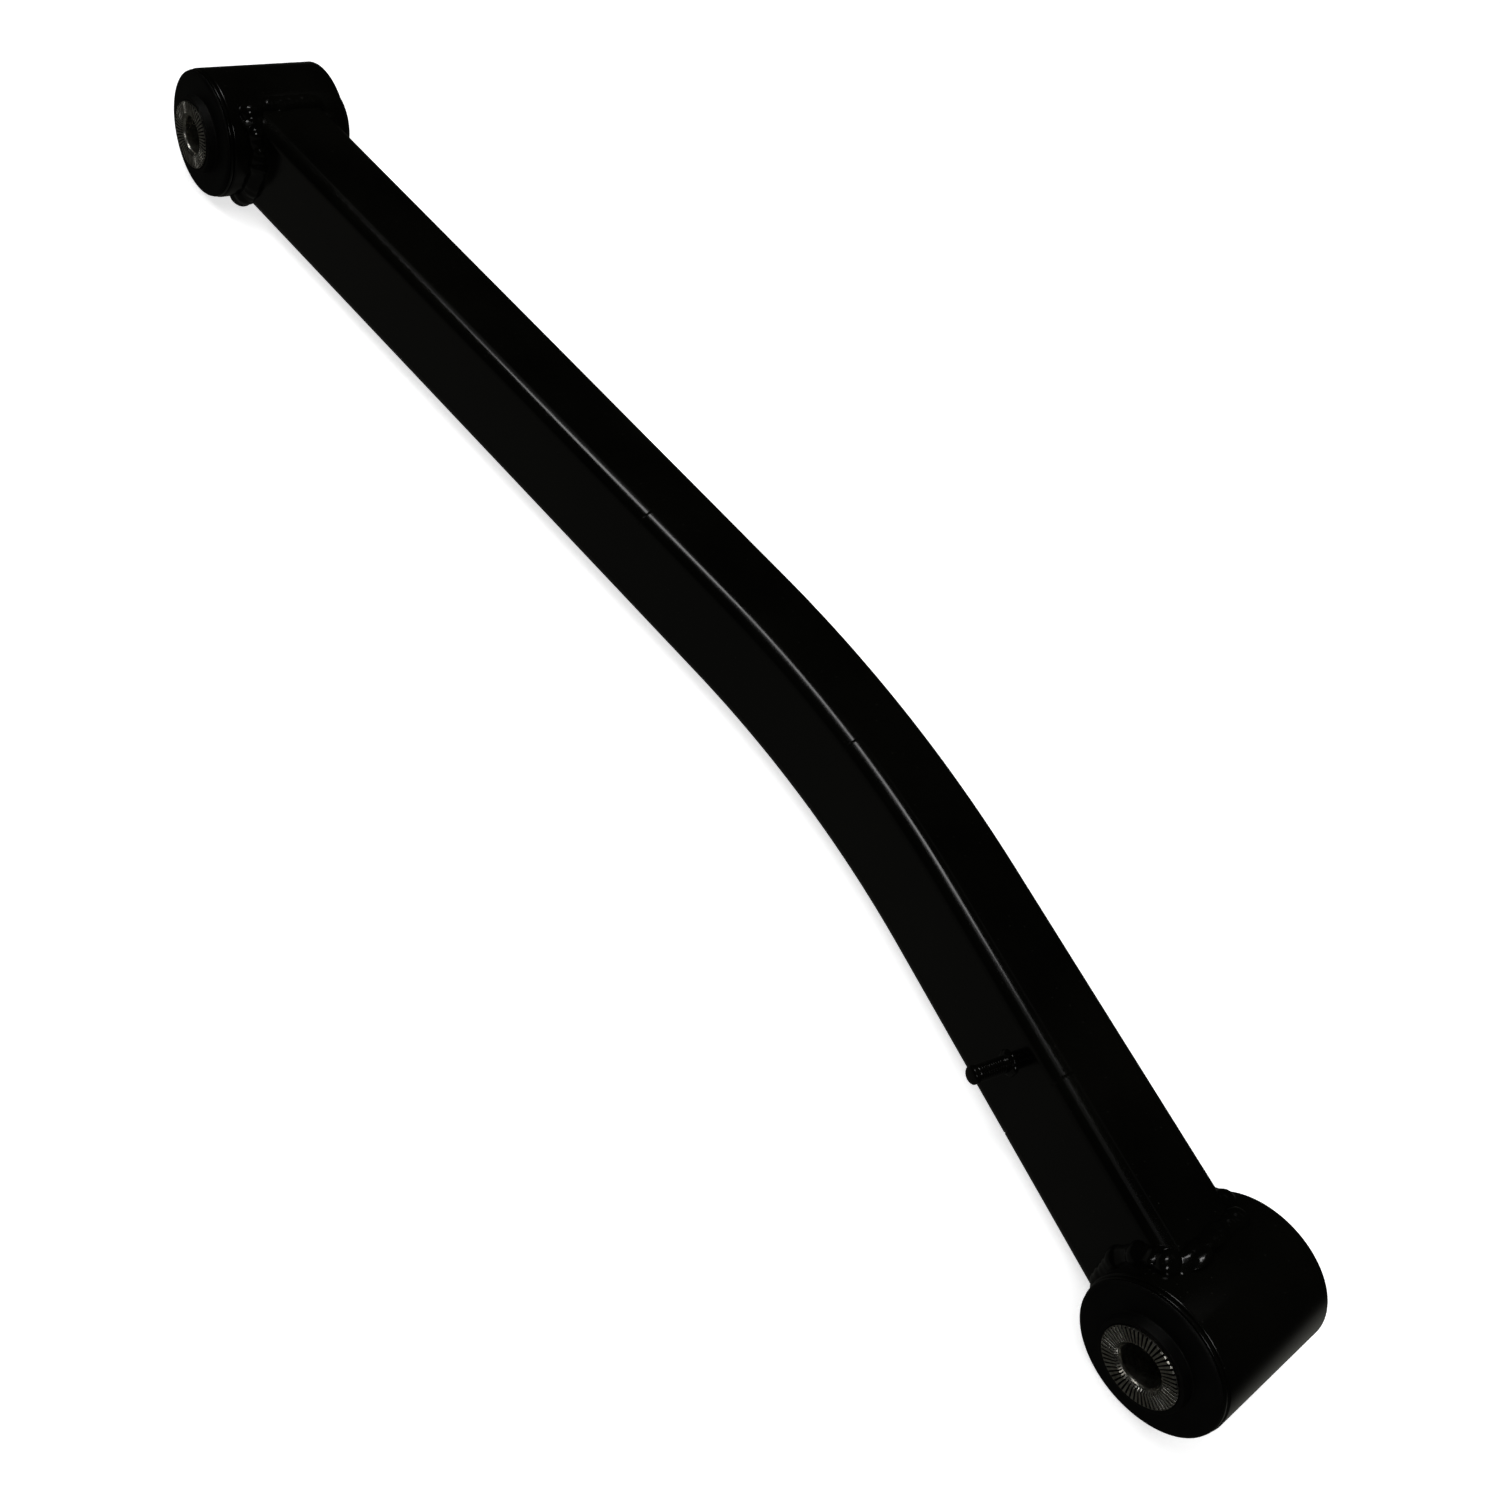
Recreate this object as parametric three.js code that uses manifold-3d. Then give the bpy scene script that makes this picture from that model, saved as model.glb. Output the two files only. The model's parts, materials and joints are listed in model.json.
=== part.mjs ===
// Suspension control arm: a rectangular steel tube, bent sideways once, with a rubber-bushed eye
// welded across each end and a threaded stud on its front side.
// Millimetres. +X runs from the near eye to the far eye, +Y to the stud side, +Z up. The bolts lie
// along Y. Bodies that touch in the real arm stand FIT_GAP apart here.
import * as THREE from 'three';
import { mergeVertices } from 'three/addons/utils/BufferGeometryUtils.js';
import Module from 'manifold-3d';

const wasm = await Module();
wasm.setup();

// ---- Driving dimensions ---------------------------------------------------------------------
const FIT_GAP = 0.3; // between bodies that are bonded, pressed or welded together

const EYE_SPACING = 600; // bolt centre to bolt centre
const EYE_RADIUS = 25.75; // outside of the round eye housing
const EYE_WALL = 3.5;
const EYE_LENGTH = 53;
const EYE_CHAMFER = 0.7;

const TUBE_WIDTH = 34; // along the bolts
const TUBE_HEIGHT = 43;
const TUBE_CORNER = 6; // outside corner radius
const TUBE_WALL = 3;
const TUBE_INSET = 12; // the uncut tube starts this far along from each eye centre
const BEND_ALONG = 215; // where the two straight centre lines cross
const BEND_DEPTH = 38.1; // how far that crossing lies behind the line through the eyes
const BEND_RADIUS = 466;
const NEAR_OFFSET = 3.2; // tube centre line in front of the eye centre, at each end
const FAR_OFFSET = 1.8;

const SHELL_WALL = 1.5;
const SHELL_BACK = 26; // the can ends this far behind the eye's middle
const SHELL_FLANGE_RADIUS = 25.4;
const SHELL_FLANGE_THICKNESS = 1.3;

const RUBBER_FACE = 29.6; // moulded flange face, from the eye's middle
const RUBBER_FLAT_RADIUS = 22.4; // the lip starts to round off here
const RUBBER_LIP_RADIUS = 25.1;
const BOSS_FOOT_RADIUS = 16.6; // raised boss round the sleeve
const BOSS_TOP_RADIUS = 14.7;
const BOSS_HEIGHT = 33.2;
const BACK_FACE = 25.6;

const SLEEVE_RADIUS = 13.5;
const SLEEVE_LENGTH = 68;
const SLEEVE_EDGE = 0.4; // outer edge break
const BOLT_BORE_RADIUS = 7.2; // clears an M14 bolt
const BORE_CHAMFER = 0.8;

const STUD_ALONG = 91.6; // from the near eye's centre, along the tube
const STUD_RISE = 2.8; // above the middle of the tube's side
const STUD_RADIUS = 3; // M6 thread
const STUD_ROOT_RADIUS = 2.45;
const STUD_PITCH = 1;
const STUD_TURNS = 12;
const STUD_PLAIN = 3; // plain shank below the thread
const STUD_TIP = 0.9; // rounded end past the thread
const STUD_WELD_RADIUS = 4.7;
const STUD_WELD_HEIGHT = 1.5;

const WELD_LEG = 5.2; // size of the beads up the tube's sides
const WELD_CROWN = 4.6; // size of the flatter beads across its top and bottom
const WELD_SINK = 1.7; // how far the flatter beads' middles lie under the surface
const WELD_PITCH = 4.4; // distance from ripple to ripple

const HOUSING_SEGMENTS = 64;
const BUSH_SEGMENTS = 48;
const STUD_SEGMENTS = 18;
const BEND_SEGMENTS = 14;
const CORNER_SEGMENTS = 5;

// ---- Finishes -------------------------------------------------------------------------------
const blackPaint = { color: 0x0c0c0c, metalness: 0.2, roughness: 0.35 };
const weldPaint = { color: 0x101010, metalness: 0.3, roughness: 0.3 };
const rubberBlack = { color: 0x0a0a0a, metalness: 0, roughness: 0.6 };
const bareSteel = { color: 0xa3a19b, metalness: 0.9, roughness: 0.4 };

// ---- Solid helpers --------------------------------------------------------------------------
function toSolid(geometry) {
  const bare = geometry.clone();
  bare.deleteAttribute('normal');
  bare.deleteAttribute('uv');
  const welded = mergeVertices(bare, 1e-4);
  return new wasm.Manifold(new wasm.Mesh({
    numProp: 3,
    vertProperties: new Float32Array(welded.attributes.position.array),
    triVerts: new Uint32Array(welded.index.array),
  }));
}

function toGeometry(solid) {
  const mesh = solid.getMesh();
  const geometry = new THREE.BufferGeometry();
  geometry.setAttribute('position', new THREE.BufferAttribute(mesh.vertProperties, 3));
  geometry.setIndex(new THREE.BufferAttribute(mesh.triVerts, 1));
  const faceted = geometry.toNonIndexed();
  faceted.computeVertexNormals();
  return faceted;
}

function part(name, geometry, finish) {
  const mesh = new THREE.Mesh(geometry, new THREE.MeshStandardMaterial(finish));
  mesh.name = name;
  return mesh;
}

// A ring turned about Y from [radius, height] corners listed bottom, outside, top, inside.
function turnedRing(corners, segments) {
  const profile = [...corners, corners[0]].map(([radius, height]) => new THREE.Vector2(radius, height));
  return toSolid(new THREE.LatheGeometry(profile, segments));
}

// A turned solid whose [radius, height] corners start and end on the Y axis, bottom first.
function turnedSolid(corners, segments) {
  const profile = corners.map(([radius, height]) => new THREE.Vector2(radius, height));
  return toSolid(new THREE.LatheGeometry(profile, segments));
}

// ---- Centre line of the tube ----------------------------------------------------------------
// Straight, one arc, straight, all at the height of the eye centres.
class BentCentreLine extends THREE.Curve {
  constructor() {
    super();
    const nearPoint = new THREE.Vector3(0, NEAR_OFFSET, 0);
    const farPoint = new THREE.Vector3(EYE_SPACING, FAR_OFFSET, 0);
    const crossing = new THREE.Vector3(BEND_ALONG, -BEND_DEPTH, 0);
    this.nearDirection = crossing.clone().sub(nearPoint).normalize();
    this.farDirection = farPoint.clone().sub(crossing).normalize();
    this.nearPoint = nearPoint;
    this.farPoint = farPoint;

    const turn = this.nearDirection.angleTo(this.farDirection);
    const tangentLength = BEND_RADIUS * Math.tan(turn / 2);
    const arcStart = crossing.clone().addScaledVector(this.nearDirection, -tangentLength);
    const arcCentre = arcStart.clone().addScaledVector(sideNormal(this.nearDirection), BEND_RADIUS);

    this.stations = [station(this.nearPoint, this.nearDirection, TUBE_INSET)];
    for (let i = 0; i <= BEND_SEGMENTS; i++) {
      const direction = this.nearDirection.clone()
        .applyAxisAngle(new THREE.Vector3(0, 0, 1), (turn * i) / BEND_SEGMENTS);
      const point = arcCentre.clone().addScaledVector(sideNormal(direction), -BEND_RADIUS);
      this.stations.push({ point, direction });
    }
    this.stations.push(station(this.farPoint, this.farDirection, -TUBE_INSET));
  }

  stationAt(u) {
    return this.stations[Math.round(u * (this.stations.length - 1))];
  }

  getPointAt(u, target = new THREE.Vector3()) {
    return target.copy(this.stationAt(u).point);
  }

  getTangentAt(u, target = new THREE.Vector3()) {
    return target.copy(this.stationAt(u).direction);
  }
}

// The horizontal normal on the front (+Y) side of a line that runs along +X.
function sideNormal(direction) {
  return new THREE.Vector3(-direction.y, direction.x, 0);
}

function station(origin, direction, distance) {
  return { point: origin.clone().addScaledVector(direction, distance), direction };
}

const centreLine = new BentCentreLine();

// ---- Tube -----------------------------------------------------------------------------------
// Rounded rectangle, height along the shape's X and width along its Y.
function tubeOutline(extra) {
  const corner = TUBE_CORNER + extra;
  const halfHeight = TUBE_HEIGHT / 2 + extra;
  const halfWidth = TUBE_WIDTH / 2 + extra;
  const outline = new THREE.Shape();
  outline.moveTo(halfHeight, -halfWidth + corner);
  outline.absarc(halfHeight - corner, halfWidth - corner, corner, 0, Math.PI / 2);
  outline.absarc(-halfHeight + corner, halfWidth - corner, corner, Math.PI / 2, Math.PI);
  outline.absarc(-halfHeight + corner, -halfWidth + corner, corner, Math.PI, 1.5 * Math.PI);
  outline.absarc(halfHeight - corner, -halfWidth + corner, corner, 1.5 * Math.PI, 2 * Math.PI);
  return outline;
}

function sweptAlongArm(outline) {
  return toSolid(new THREE.ExtrudeGeometry(outline, {
    extrudePath: centreLine,
    steps: centreLine.stations.length - 1,
    curveSegments: CORNER_SEGMENTS,
  }));
}

// Clearance cylinder round one eye, as long as the housing.
function eyeClearance(eyeX) {
  const cylinder = new THREE.CylinderGeometry(
    EYE_RADIUS + FIT_GAP, EYE_RADIUS + FIT_GAP, 2 * EYE_LENGTH, HOUSING_SEGMENTS);
  return toSolid(cylinder.translate(eyeX, 0, 0));
}

const eyeClearances = eyeClearance(0).add(eyeClearance(EYE_SPACING));

function makeTube() {
  const walls = sweptAlongArm(tubeOutline(0)).subtract(sweptAlongArm(tubeOutline(-TUBE_WALL)));
  return part('arm_tube', toGeometry(walls.subtract(eyeClearances)), blackPaint);
}

// ---- Eyes and bushes ------------------------------------------------------------------------
const shellOuter = EYE_RADIUS - EYE_WALL - FIT_GAP;
const shellInner = shellOuter - SHELL_WALL;
const flangeBack = EYE_LENGTH / 2 + FIT_GAP;
const flangeFront = flangeBack + SHELL_FLANGE_THICKNESS;

function makeHousing(name) {
  const half = EYE_LENGTH / 2;
  const inner = EYE_RADIUS - EYE_WALL;
  const ring = turnedRing([
    [inner, -half],
    [EYE_RADIUS - EYE_CHAMFER, -half],
    [EYE_RADIUS, -half + EYE_CHAMFER],
    [EYE_RADIUS, half - EYE_CHAMFER],
    [EYE_RADIUS - EYE_CHAMFER, half],
    [inner, half],
  ], HOUSING_SEGMENTS);
  return part(name, toGeometry(ring), blackPaint);
}

function makeShell(name) {
  const ring = turnedRing([
    [shellInner, -SHELL_BACK],
    [shellOuter, -SHELL_BACK],
    [shellOuter, flangeBack],
    [SHELL_FLANGE_RADIUS, flangeBack],
    [SHELL_FLANGE_RADIUS, flangeFront],
    [shellInner, flangeFront],
  ], BUSH_SEGMENTS);
  return part(name, toGeometry(ring), blackPaint);
}

function makeRubber(name) {
  const outer = shellInner - FIT_GAP;
  const inner = SLEEVE_RADIUS + FIT_GAP;
  const lipBack = flangeFront + FIT_GAP;
  const ring = turnedRing([
    [inner, -BOSS_HEIGHT],
    [BOSS_TOP_RADIUS, -BOSS_HEIGHT],
    [BOSS_FOOT_RADIUS, -BACK_FACE],
    [outer, -BACK_FACE],
    [outer, lipBack],
    [RUBBER_LIP_RADIUS, lipBack],
    [RUBBER_LIP_RADIUS - 0.5, RUBBER_FACE - 0.35],
    [RUBBER_FLAT_RADIUS, RUBBER_FACE],
    [BOSS_FOOT_RADIUS, RUBBER_FACE],
    [BOSS_TOP_RADIUS, BOSS_HEIGHT],
    [inner, BOSS_HEIGHT],
  ], BUSH_SEGMENTS);
  return part(name, toGeometry(ring), rubberBlack);
}

function makeSleeve(name) {
  const half = SLEEVE_LENGTH / 2;
  const ring = turnedRing([
    [BOLT_BORE_RADIUS + BORE_CHAMFER, -half],
    [SLEEVE_RADIUS - SLEEVE_EDGE, -half],
    [SLEEVE_RADIUS, -half + SLEEVE_EDGE],
    [SLEEVE_RADIUS, half - SLEEVE_EDGE],
    [SLEEVE_RADIUS - SLEEVE_EDGE, half],
    [BOLT_BORE_RADIUS + BORE_CHAMFER, half],
    [BOLT_BORE_RADIUS, half - BORE_CHAMFER],
    [BOLT_BORE_RADIUS, -half + BORE_CHAMFER],
  ], BUSH_SEGMENTS);
  return part(name, toGeometry(ring), bareSteel);
}

function makeEye(prefix, eyeX) {
  const eye = new THREE.Group();
  eye.name = `${prefix}_eye`;
  eye.position.x = eyeX;
  eye.add(
    makeHousing(`${prefix}_eye_housing`),
    makeShell(`${prefix}_bush_shell`),
    makeRubber(`${prefix}_bush_rubber`),
    makeSleeve(`${prefix}_inner_sleeve`),
  );
  return eye;
}

// ---- Welds ----------------------------------------------------------------------------------
// Point where the tube's skin meets an eye. The skin point is given by its distance to the side of
// the centre line and its height; sink moves it under the surface of the tube.
function jointPoint(eyeX, sideways, height, sink = 0) {
  const inward = eyeX === 0 ? 1 : -1;
  const { origin, direction } = eyeX === 0
    ? { origin: centreLine.nearPoint, direction: centreLine.nearDirection }
    : { origin: centreLine.farPoint, direction: centreLine.farDirection };
  const reach = Math.sqrt((EYE_RADIUS + FIT_GAP) ** 2 - height ** 2);
  const normal = sideNormal(direction);
  const run = (inward * reach - normal.x * sideways) / direction.x;
  const level = height - Math.sign(height) * sink;
  return origin.clone().addScaledVector(direction, run).addScaledVector(normal, sideways).setZ(level);
}

// A bead laid as overlapping ripples, one ball to each; their size wavers a little along the run.
function rippleRun(points, size) {
  const balls = points.map((point, i) => {
    const radius = size * (1 + 0.05 * Math.sin(2.4 * i));
    const ball = new THREE.SphereGeometry(radius, 10, 7).rotateX(0.7 * i);
    return toSolid(ball.translate(point.x, point.y, point.z));
  });
  return balls.reduce((bead, ball) => bead.add(ball));
}

function evenSpread(reach, pitch) {
  const count = Math.round((2 * reach) / pitch);
  return Array.from({ length: count + 1 }, (_, i) => -reach + (2 * reach * i) / count);
}

function makeWelds(prefix, eyeX, blockers) {
  const sideReach = TUBE_HEIGHT / 2 - TUBE_CORNER / 2;
  const crownReach = TUBE_WIDTH / 2 - TUBE_CORNER;
  const sideRun = (side) => evenSpread(sideReach, WELD_PITCH)
    .map((height) => jointPoint(eyeX, (side * TUBE_WIDTH) / 2, height));
  const crownRun = (level) => evenSpread(crownReach, WELD_PITCH)
    .map((sideways) => jointPoint(eyeX, sideways, (level * TUBE_HEIGHT) / 2, WELD_SINK));

  const sideKeepOut = rippleRun(sideRun(1), WELD_LEG + FIT_GAP)
    .add(rippleRun(sideRun(-1), WELD_LEG + FIT_GAP));
  const side = (run) => rippleRun(run, WELD_LEG).subtract(blockers);
  const crown = (run) => rippleRun(run, WELD_CROWN).subtract(blockers).subtract(sideKeepOut);
  return [
    part(`${prefix}_weld_front`, toGeometry(side(sideRun(1))), weldPaint),
    part(`${prefix}_weld_back`, toGeometry(side(sideRun(-1))), weldPaint),
    part(`${prefix}_weld_top`, toGeometry(crown(crownRun(1))), weldPaint),
    part(`${prefix}_weld_bottom`, toGeometry(crown(crownRun(-1))), weldPaint),
  ];
}

// ---- Side stud ------------------------------------------------------------------------------
function makeStud() {
  const ridges = [];
  for (let turn = 0; turn < STUD_TURNS; turn++) {
    const foot = STUD_PLAIN + turn * STUD_PITCH;
    ridges.push([STUD_ROOT_RADIUS, foot], [STUD_RADIUS, foot + STUD_PITCH / 2]);
  }
  const threadEnd = STUD_PLAIN + STUD_TURNS * STUD_PITCH;
  const stud = turnedSolid([
    [0, FIT_GAP],
    [STUD_RADIUS - 0.1, FIT_GAP],
    [STUD_RADIUS - 0.1, STUD_PLAIN - STUD_PITCH / 4],
    ...ridges,
    [STUD_ROOT_RADIUS, threadEnd],
    [STUD_ROOT_RADIUS, threadEnd + STUD_TIP / 2],
    [STUD_ROOT_RADIUS - STUD_TIP / 2, threadEnd + STUD_TIP],
    [0, threadEnd + STUD_TIP],
  ], STUD_SEGMENTS);
  return part('side_stud', toGeometry(stud), blackPaint);
}

function makeStudWeld() {
  const inner = STUD_RADIUS + FIT_GAP;
  const collar = turnedRing([
    [inner, FIT_GAP],
    [STUD_WELD_RADIUS, FIT_GAP],
    [STUD_WELD_RADIUS - 0.3, STUD_WELD_HEIGHT - 0.5],
    [inner + 0.5, STUD_WELD_HEIGHT],
    [inner, STUD_WELD_HEIGHT],
  ], STUD_SEGMENTS);
  return part('stud_weld', toGeometry(collar), weldPaint);
}

function makeStudAssembly() {
  const { nearPoint, nearDirection } = centreLine;
  const outward = sideNormal(nearDirection);
  const stud = new THREE.Group();
  stud.name = 'stud_assembly';
  stud.position.copy(nearPoint)
    .addScaledVector(nearDirection, STUD_ALONG)
    .addScaledVector(outward, TUBE_WIDTH / 2)
    .setZ(STUD_RISE);
  stud.rotation.z = Math.atan2(nearDirection.y, nearDirection.x);
  stud.add(makeStud(), makeStudWeld());
  return stud;
}

// ---- Assembly -------------------------------------------------------------------------------
const arm = new THREE.Group();
arm.name = 'control_arm';
const weldBlockers = sweptAlongArm(tubeOutline(FIT_GAP)).add(eyeClearances);
arm.add(
  makeTube(),
  makeEye('near', 0),
  makeEye('far', EYE_SPACING),
  ...makeWelds('near', 0, weldBlockers),
  ...makeWelds('far', EYE_SPACING, weldBlockers),
  makeStudAssembly(),
);

// The part's origin is the middle of its base.
const extent = new THREE.Box3().setFromObject(arm);
const middle = extent.getCenter(new THREE.Vector3());
arm.position.set(-middle.x, -middle.y, -extent.min.z);

const group = new THREE.Group();
group.name = 'part';
group.add(arm);

export default group;
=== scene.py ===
"""Looks of a bent suspension arm: a box-section tube, two rubber-bushed eyes and a side stud.

Everything is in metres in the part's own frame: +X runs from the near eye to the far eye, +Y to the
side with the stud, +Z up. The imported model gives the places; the classes below give the shapes.
"""

import json
import logging
import math
import random
from dataclasses import dataclass, field
from enum import Enum
from typing import Callable, Iterable, Sequence

import bmesh
import bpy
from mathutils import Matrix, Vector, noise


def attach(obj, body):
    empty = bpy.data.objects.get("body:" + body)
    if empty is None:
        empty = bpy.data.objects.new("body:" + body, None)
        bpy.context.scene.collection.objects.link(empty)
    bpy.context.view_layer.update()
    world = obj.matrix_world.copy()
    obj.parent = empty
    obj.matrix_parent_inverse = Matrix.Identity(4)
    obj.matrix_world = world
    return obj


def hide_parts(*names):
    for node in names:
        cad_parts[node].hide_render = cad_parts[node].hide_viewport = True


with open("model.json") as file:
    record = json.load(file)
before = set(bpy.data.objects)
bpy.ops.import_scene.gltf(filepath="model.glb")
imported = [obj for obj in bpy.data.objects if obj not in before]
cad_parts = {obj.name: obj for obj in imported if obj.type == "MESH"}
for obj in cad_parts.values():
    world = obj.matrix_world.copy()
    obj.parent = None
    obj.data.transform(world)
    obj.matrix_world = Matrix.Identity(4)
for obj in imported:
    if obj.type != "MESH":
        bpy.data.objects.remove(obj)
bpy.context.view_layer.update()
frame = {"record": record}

logging.basicConfig(level=logging.INFO, format="%(message)s")
LOG = logging.getLogger("arm")
MM = 0.001
ARM_BODY = "arm"
GROOVE = "groove_depth"
UP = Vector((0.0, 0.0, 1.0))
SAME_PLACE = 0.01 * MM
MERGE_WITHIN = 0.002 * MM
EYE_FLATS = 192

Colour = tuple[float, float, float]
Place = tuple[float, float, float]
Stops = Sequence[tuple[float, float]]


# ---------------------------------------------------------------------------------------------
# Bench tools: selecting, drawing outlines, turning, finishing
# ---------------------------------------------------------------------------------------------
def put_down() -> None:
    """Leaves edit mode and lets go of every object."""
    if bpy.context.object and bpy.context.object.mode != "OBJECT":
        close_mesh()
    bpy.ops.object.select_all(action="DESELECT")


def pick_up(piece: bpy.types.Object) -> None:
    """Makes one object the only selected and active one.

    Args:
        piece: the object to work on.
    """
    put_down()
    piece.select_set(True)
    bpy.context.view_layer.objects.active = piece


def open_mesh() -> None:
    """Goes into edit mode with the active object's whole mesh selected."""
    bpy.ops.object.mode_set(mode="EDIT")
    select_whole()


def close_mesh() -> None:
    """Leaves edit mode."""
    bpy.ops.object.mode_set(mode="OBJECT")


def select_whole() -> None:
    """Selects all of the mesh in edit mode."""
    bpy.ops.mesh.select_all(action="SELECT")


def keep_outline() -> None:
    """Drops the faces of the mesh in edit mode and selects the outline that is left."""
    select_whole()
    bpy.ops.mesh.delete(type="ONLY_FACE")
    select_whole()


def join_skin() -> None:
    """Merges the doubles of the mesh in edit mode and turns its faces outwards."""
    select_whole()
    bpy.ops.mesh.remove_doubles(threshold=MERGE_WITHIN)
    bpy.ops.mesh.normals_make_consistent(inside=False)


def extrude_by(step: Sequence[float]) -> None:
    """Extrudes what is selected by one step, in metres."""
    bpy.ops.mesh.extrude_region_move(TRANSFORM_OT_translate={"value": step})


def select_points(piece: bpy.types.Object, wanted: Callable[[Vector], bool]) -> None:
    """Selects the vertices of a mesh in edit mode by their place.

    Args:
        piece: the object whose mesh is being edited.
        wanted: says whether a vertex at this place is wanted.
    """
    bpy.ops.mesh.select_mode(type="VERT")
    bpy.ops.mesh.select_all(action="DESELECT")
    mesh = bmesh.from_edit_mesh(piece.data)
    for vertex in mesh.verts:
        if wanted(vertex.co):
            vertex.select = True
    mesh.select_flush(True)
    bmesh.update_edit_mesh(piece.data)


def settle(piece: bpy.types.Object) -> None:
    """Applies the object's place, turn and size to its mesh."""
    pick_up(piece)
    bpy.ops.object.transform_apply(location=True, rotation=True, scale=True)


def stand_along(piece: bpy.types.Object, way: Vector, place: Vector) -> None:
    """Turns a piece built along Z to point another way, and applies its place.

    Args:
        piece: the object.
        way: the way it then points.
        place: where its origin goes, in metres.
    """
    piece.rotation_mode = "QUATERNION"
    piece.rotation_quaternion = UP.rotation_difference(way)
    piece.location = place
    settle(piece)


def finish_modifier(piece: bpy.types.Object, kind: str, **settings: object) -> None:
    """Adds a modifier with its settings and applies it at once.

    Args:
        piece: the object to change.
        kind: the modifier's type, such as "BEVEL".
        **settings: its values by name.
    """
    pick_up(piece)
    modifier = piece.modifiers.new(kind.title(), kind)
    for name, value in settings.items():
        setattr(modifier, name, value)
    bpy.ops.object.modifier_apply(modifier=modifier.name)


def smooth_faces(piece: bpy.types.Object, degrees: float = 32.0) -> None:
    """Shades smooth, keeping edges sharper than the angle crisp.

    Args:
        piece: the object to shade.
        degrees: edges that turn more than this stay sharp.
    """
    pick_up(piece)
    bpy.ops.object.shade_smooth_by_angle(angle=math.radians(degrees))


def named(piece: bpy.types.Object, name: str) -> bpy.types.Object:
    """Names an object and its mesh alike.

    Args:
        piece: the object.
        name: its name from now on.

    Returns:
        The same object.
    """
    piece.name = name
    piece.data.name = name
    return piece


@dataclass(frozen=True)
class Corner:
    """One corner of a turned outline.

    Attributes:
        radius: distance from the axis, in mm.
        along: distance along the axis from the middle, in mm.
        rounding: how far the corner is rounded off, in mm.
    """

    radius: float
    along: float
    rounding: float = 0.0


def draw_outline(corners: Sequence[Corner], centre: Vector) -> bpy.types.Object:
    """Draws a closed outline beside an axis along Y, as one flat face with rounded corners.

    Args:
        corners: the outline's corners in order.
        centre: the point on the axis that the corners are measured from.

    Returns:
        The new object, holding the flat face.
    """
    places = [centre + Vector((c.radius * MM, c.along * MM, 0.0)) for c in corners]
    put_down()
    bpy.ops.mesh.primitive_plane_add(size=MM, location=places[0])
    outline = bpy.context.object
    settle(outline)
    open_mesh()
    bpy.ops.mesh.merge(type="CENTER")
    for before, after in zip(places, places[1:]):
        bpy.ops.mesh.extrude_vertices_move(TRANSFORM_OT_translate={"value": after - before})
    select_whole()
    bpy.ops.mesh.edge_face_add()
    for corner, place in zip(corners, places):
        if corner.rounding > 0.0:
            select_points(outline, lambda co, p=place: (co - p).length < SAME_PLACE)
            bpy.ops.mesh.bevel(
                affect="VERTICES", offset=corner.rounding * MM, segments=5, profile=0.5
            )
    return outline


def turn_ring(
    name: str, corners: Sequence[Corner], centre: Vector, steps: int = 160
) -> bpy.types.Object:
    """Turns a closed outline into a ring round an axis along Y.

    Args:
        name: the piece's name.
        corners: the outline's corners in order.
        centre: the point on the axis that the corners are measured from.
        steps: how many flats the ring has.

    Returns:
        The finished ring, smooth-shaded.
    """
    ring = draw_outline(corners, centre)
    keep_outline()
    bpy.ops.mesh.spin(steps=steps, angle=math.tau, center=centre, axis=(0.0, 1.0, 0.0))
    join_skin()
    close_mesh()
    smooth_faces(ring)
    return named(ring, name)


# ---------------------------------------------------------------------------------------------
# Finishes
# ---------------------------------------------------------------------------------------------
def set_stops(ramp: bpy.types.Node, stops: Stops, tint: Colour = (1.0, 1.0, 1.0)) -> None:
    """Sets the grey stops of a colour ramp.

    Args:
        ramp: the Color Ramp node.
        stops: pairs of place and grey level, in order.
        tint: what each level is multiplied by.
    """
    elements = ramp.color_ramp.elements
    while len(elements) < len(stops):
        elements.new(0.5)
    for element, (place, level) in zip(elements, stops):
        element.position = place
        element.color = (*(level * share for share in tint), 1.0)


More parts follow.
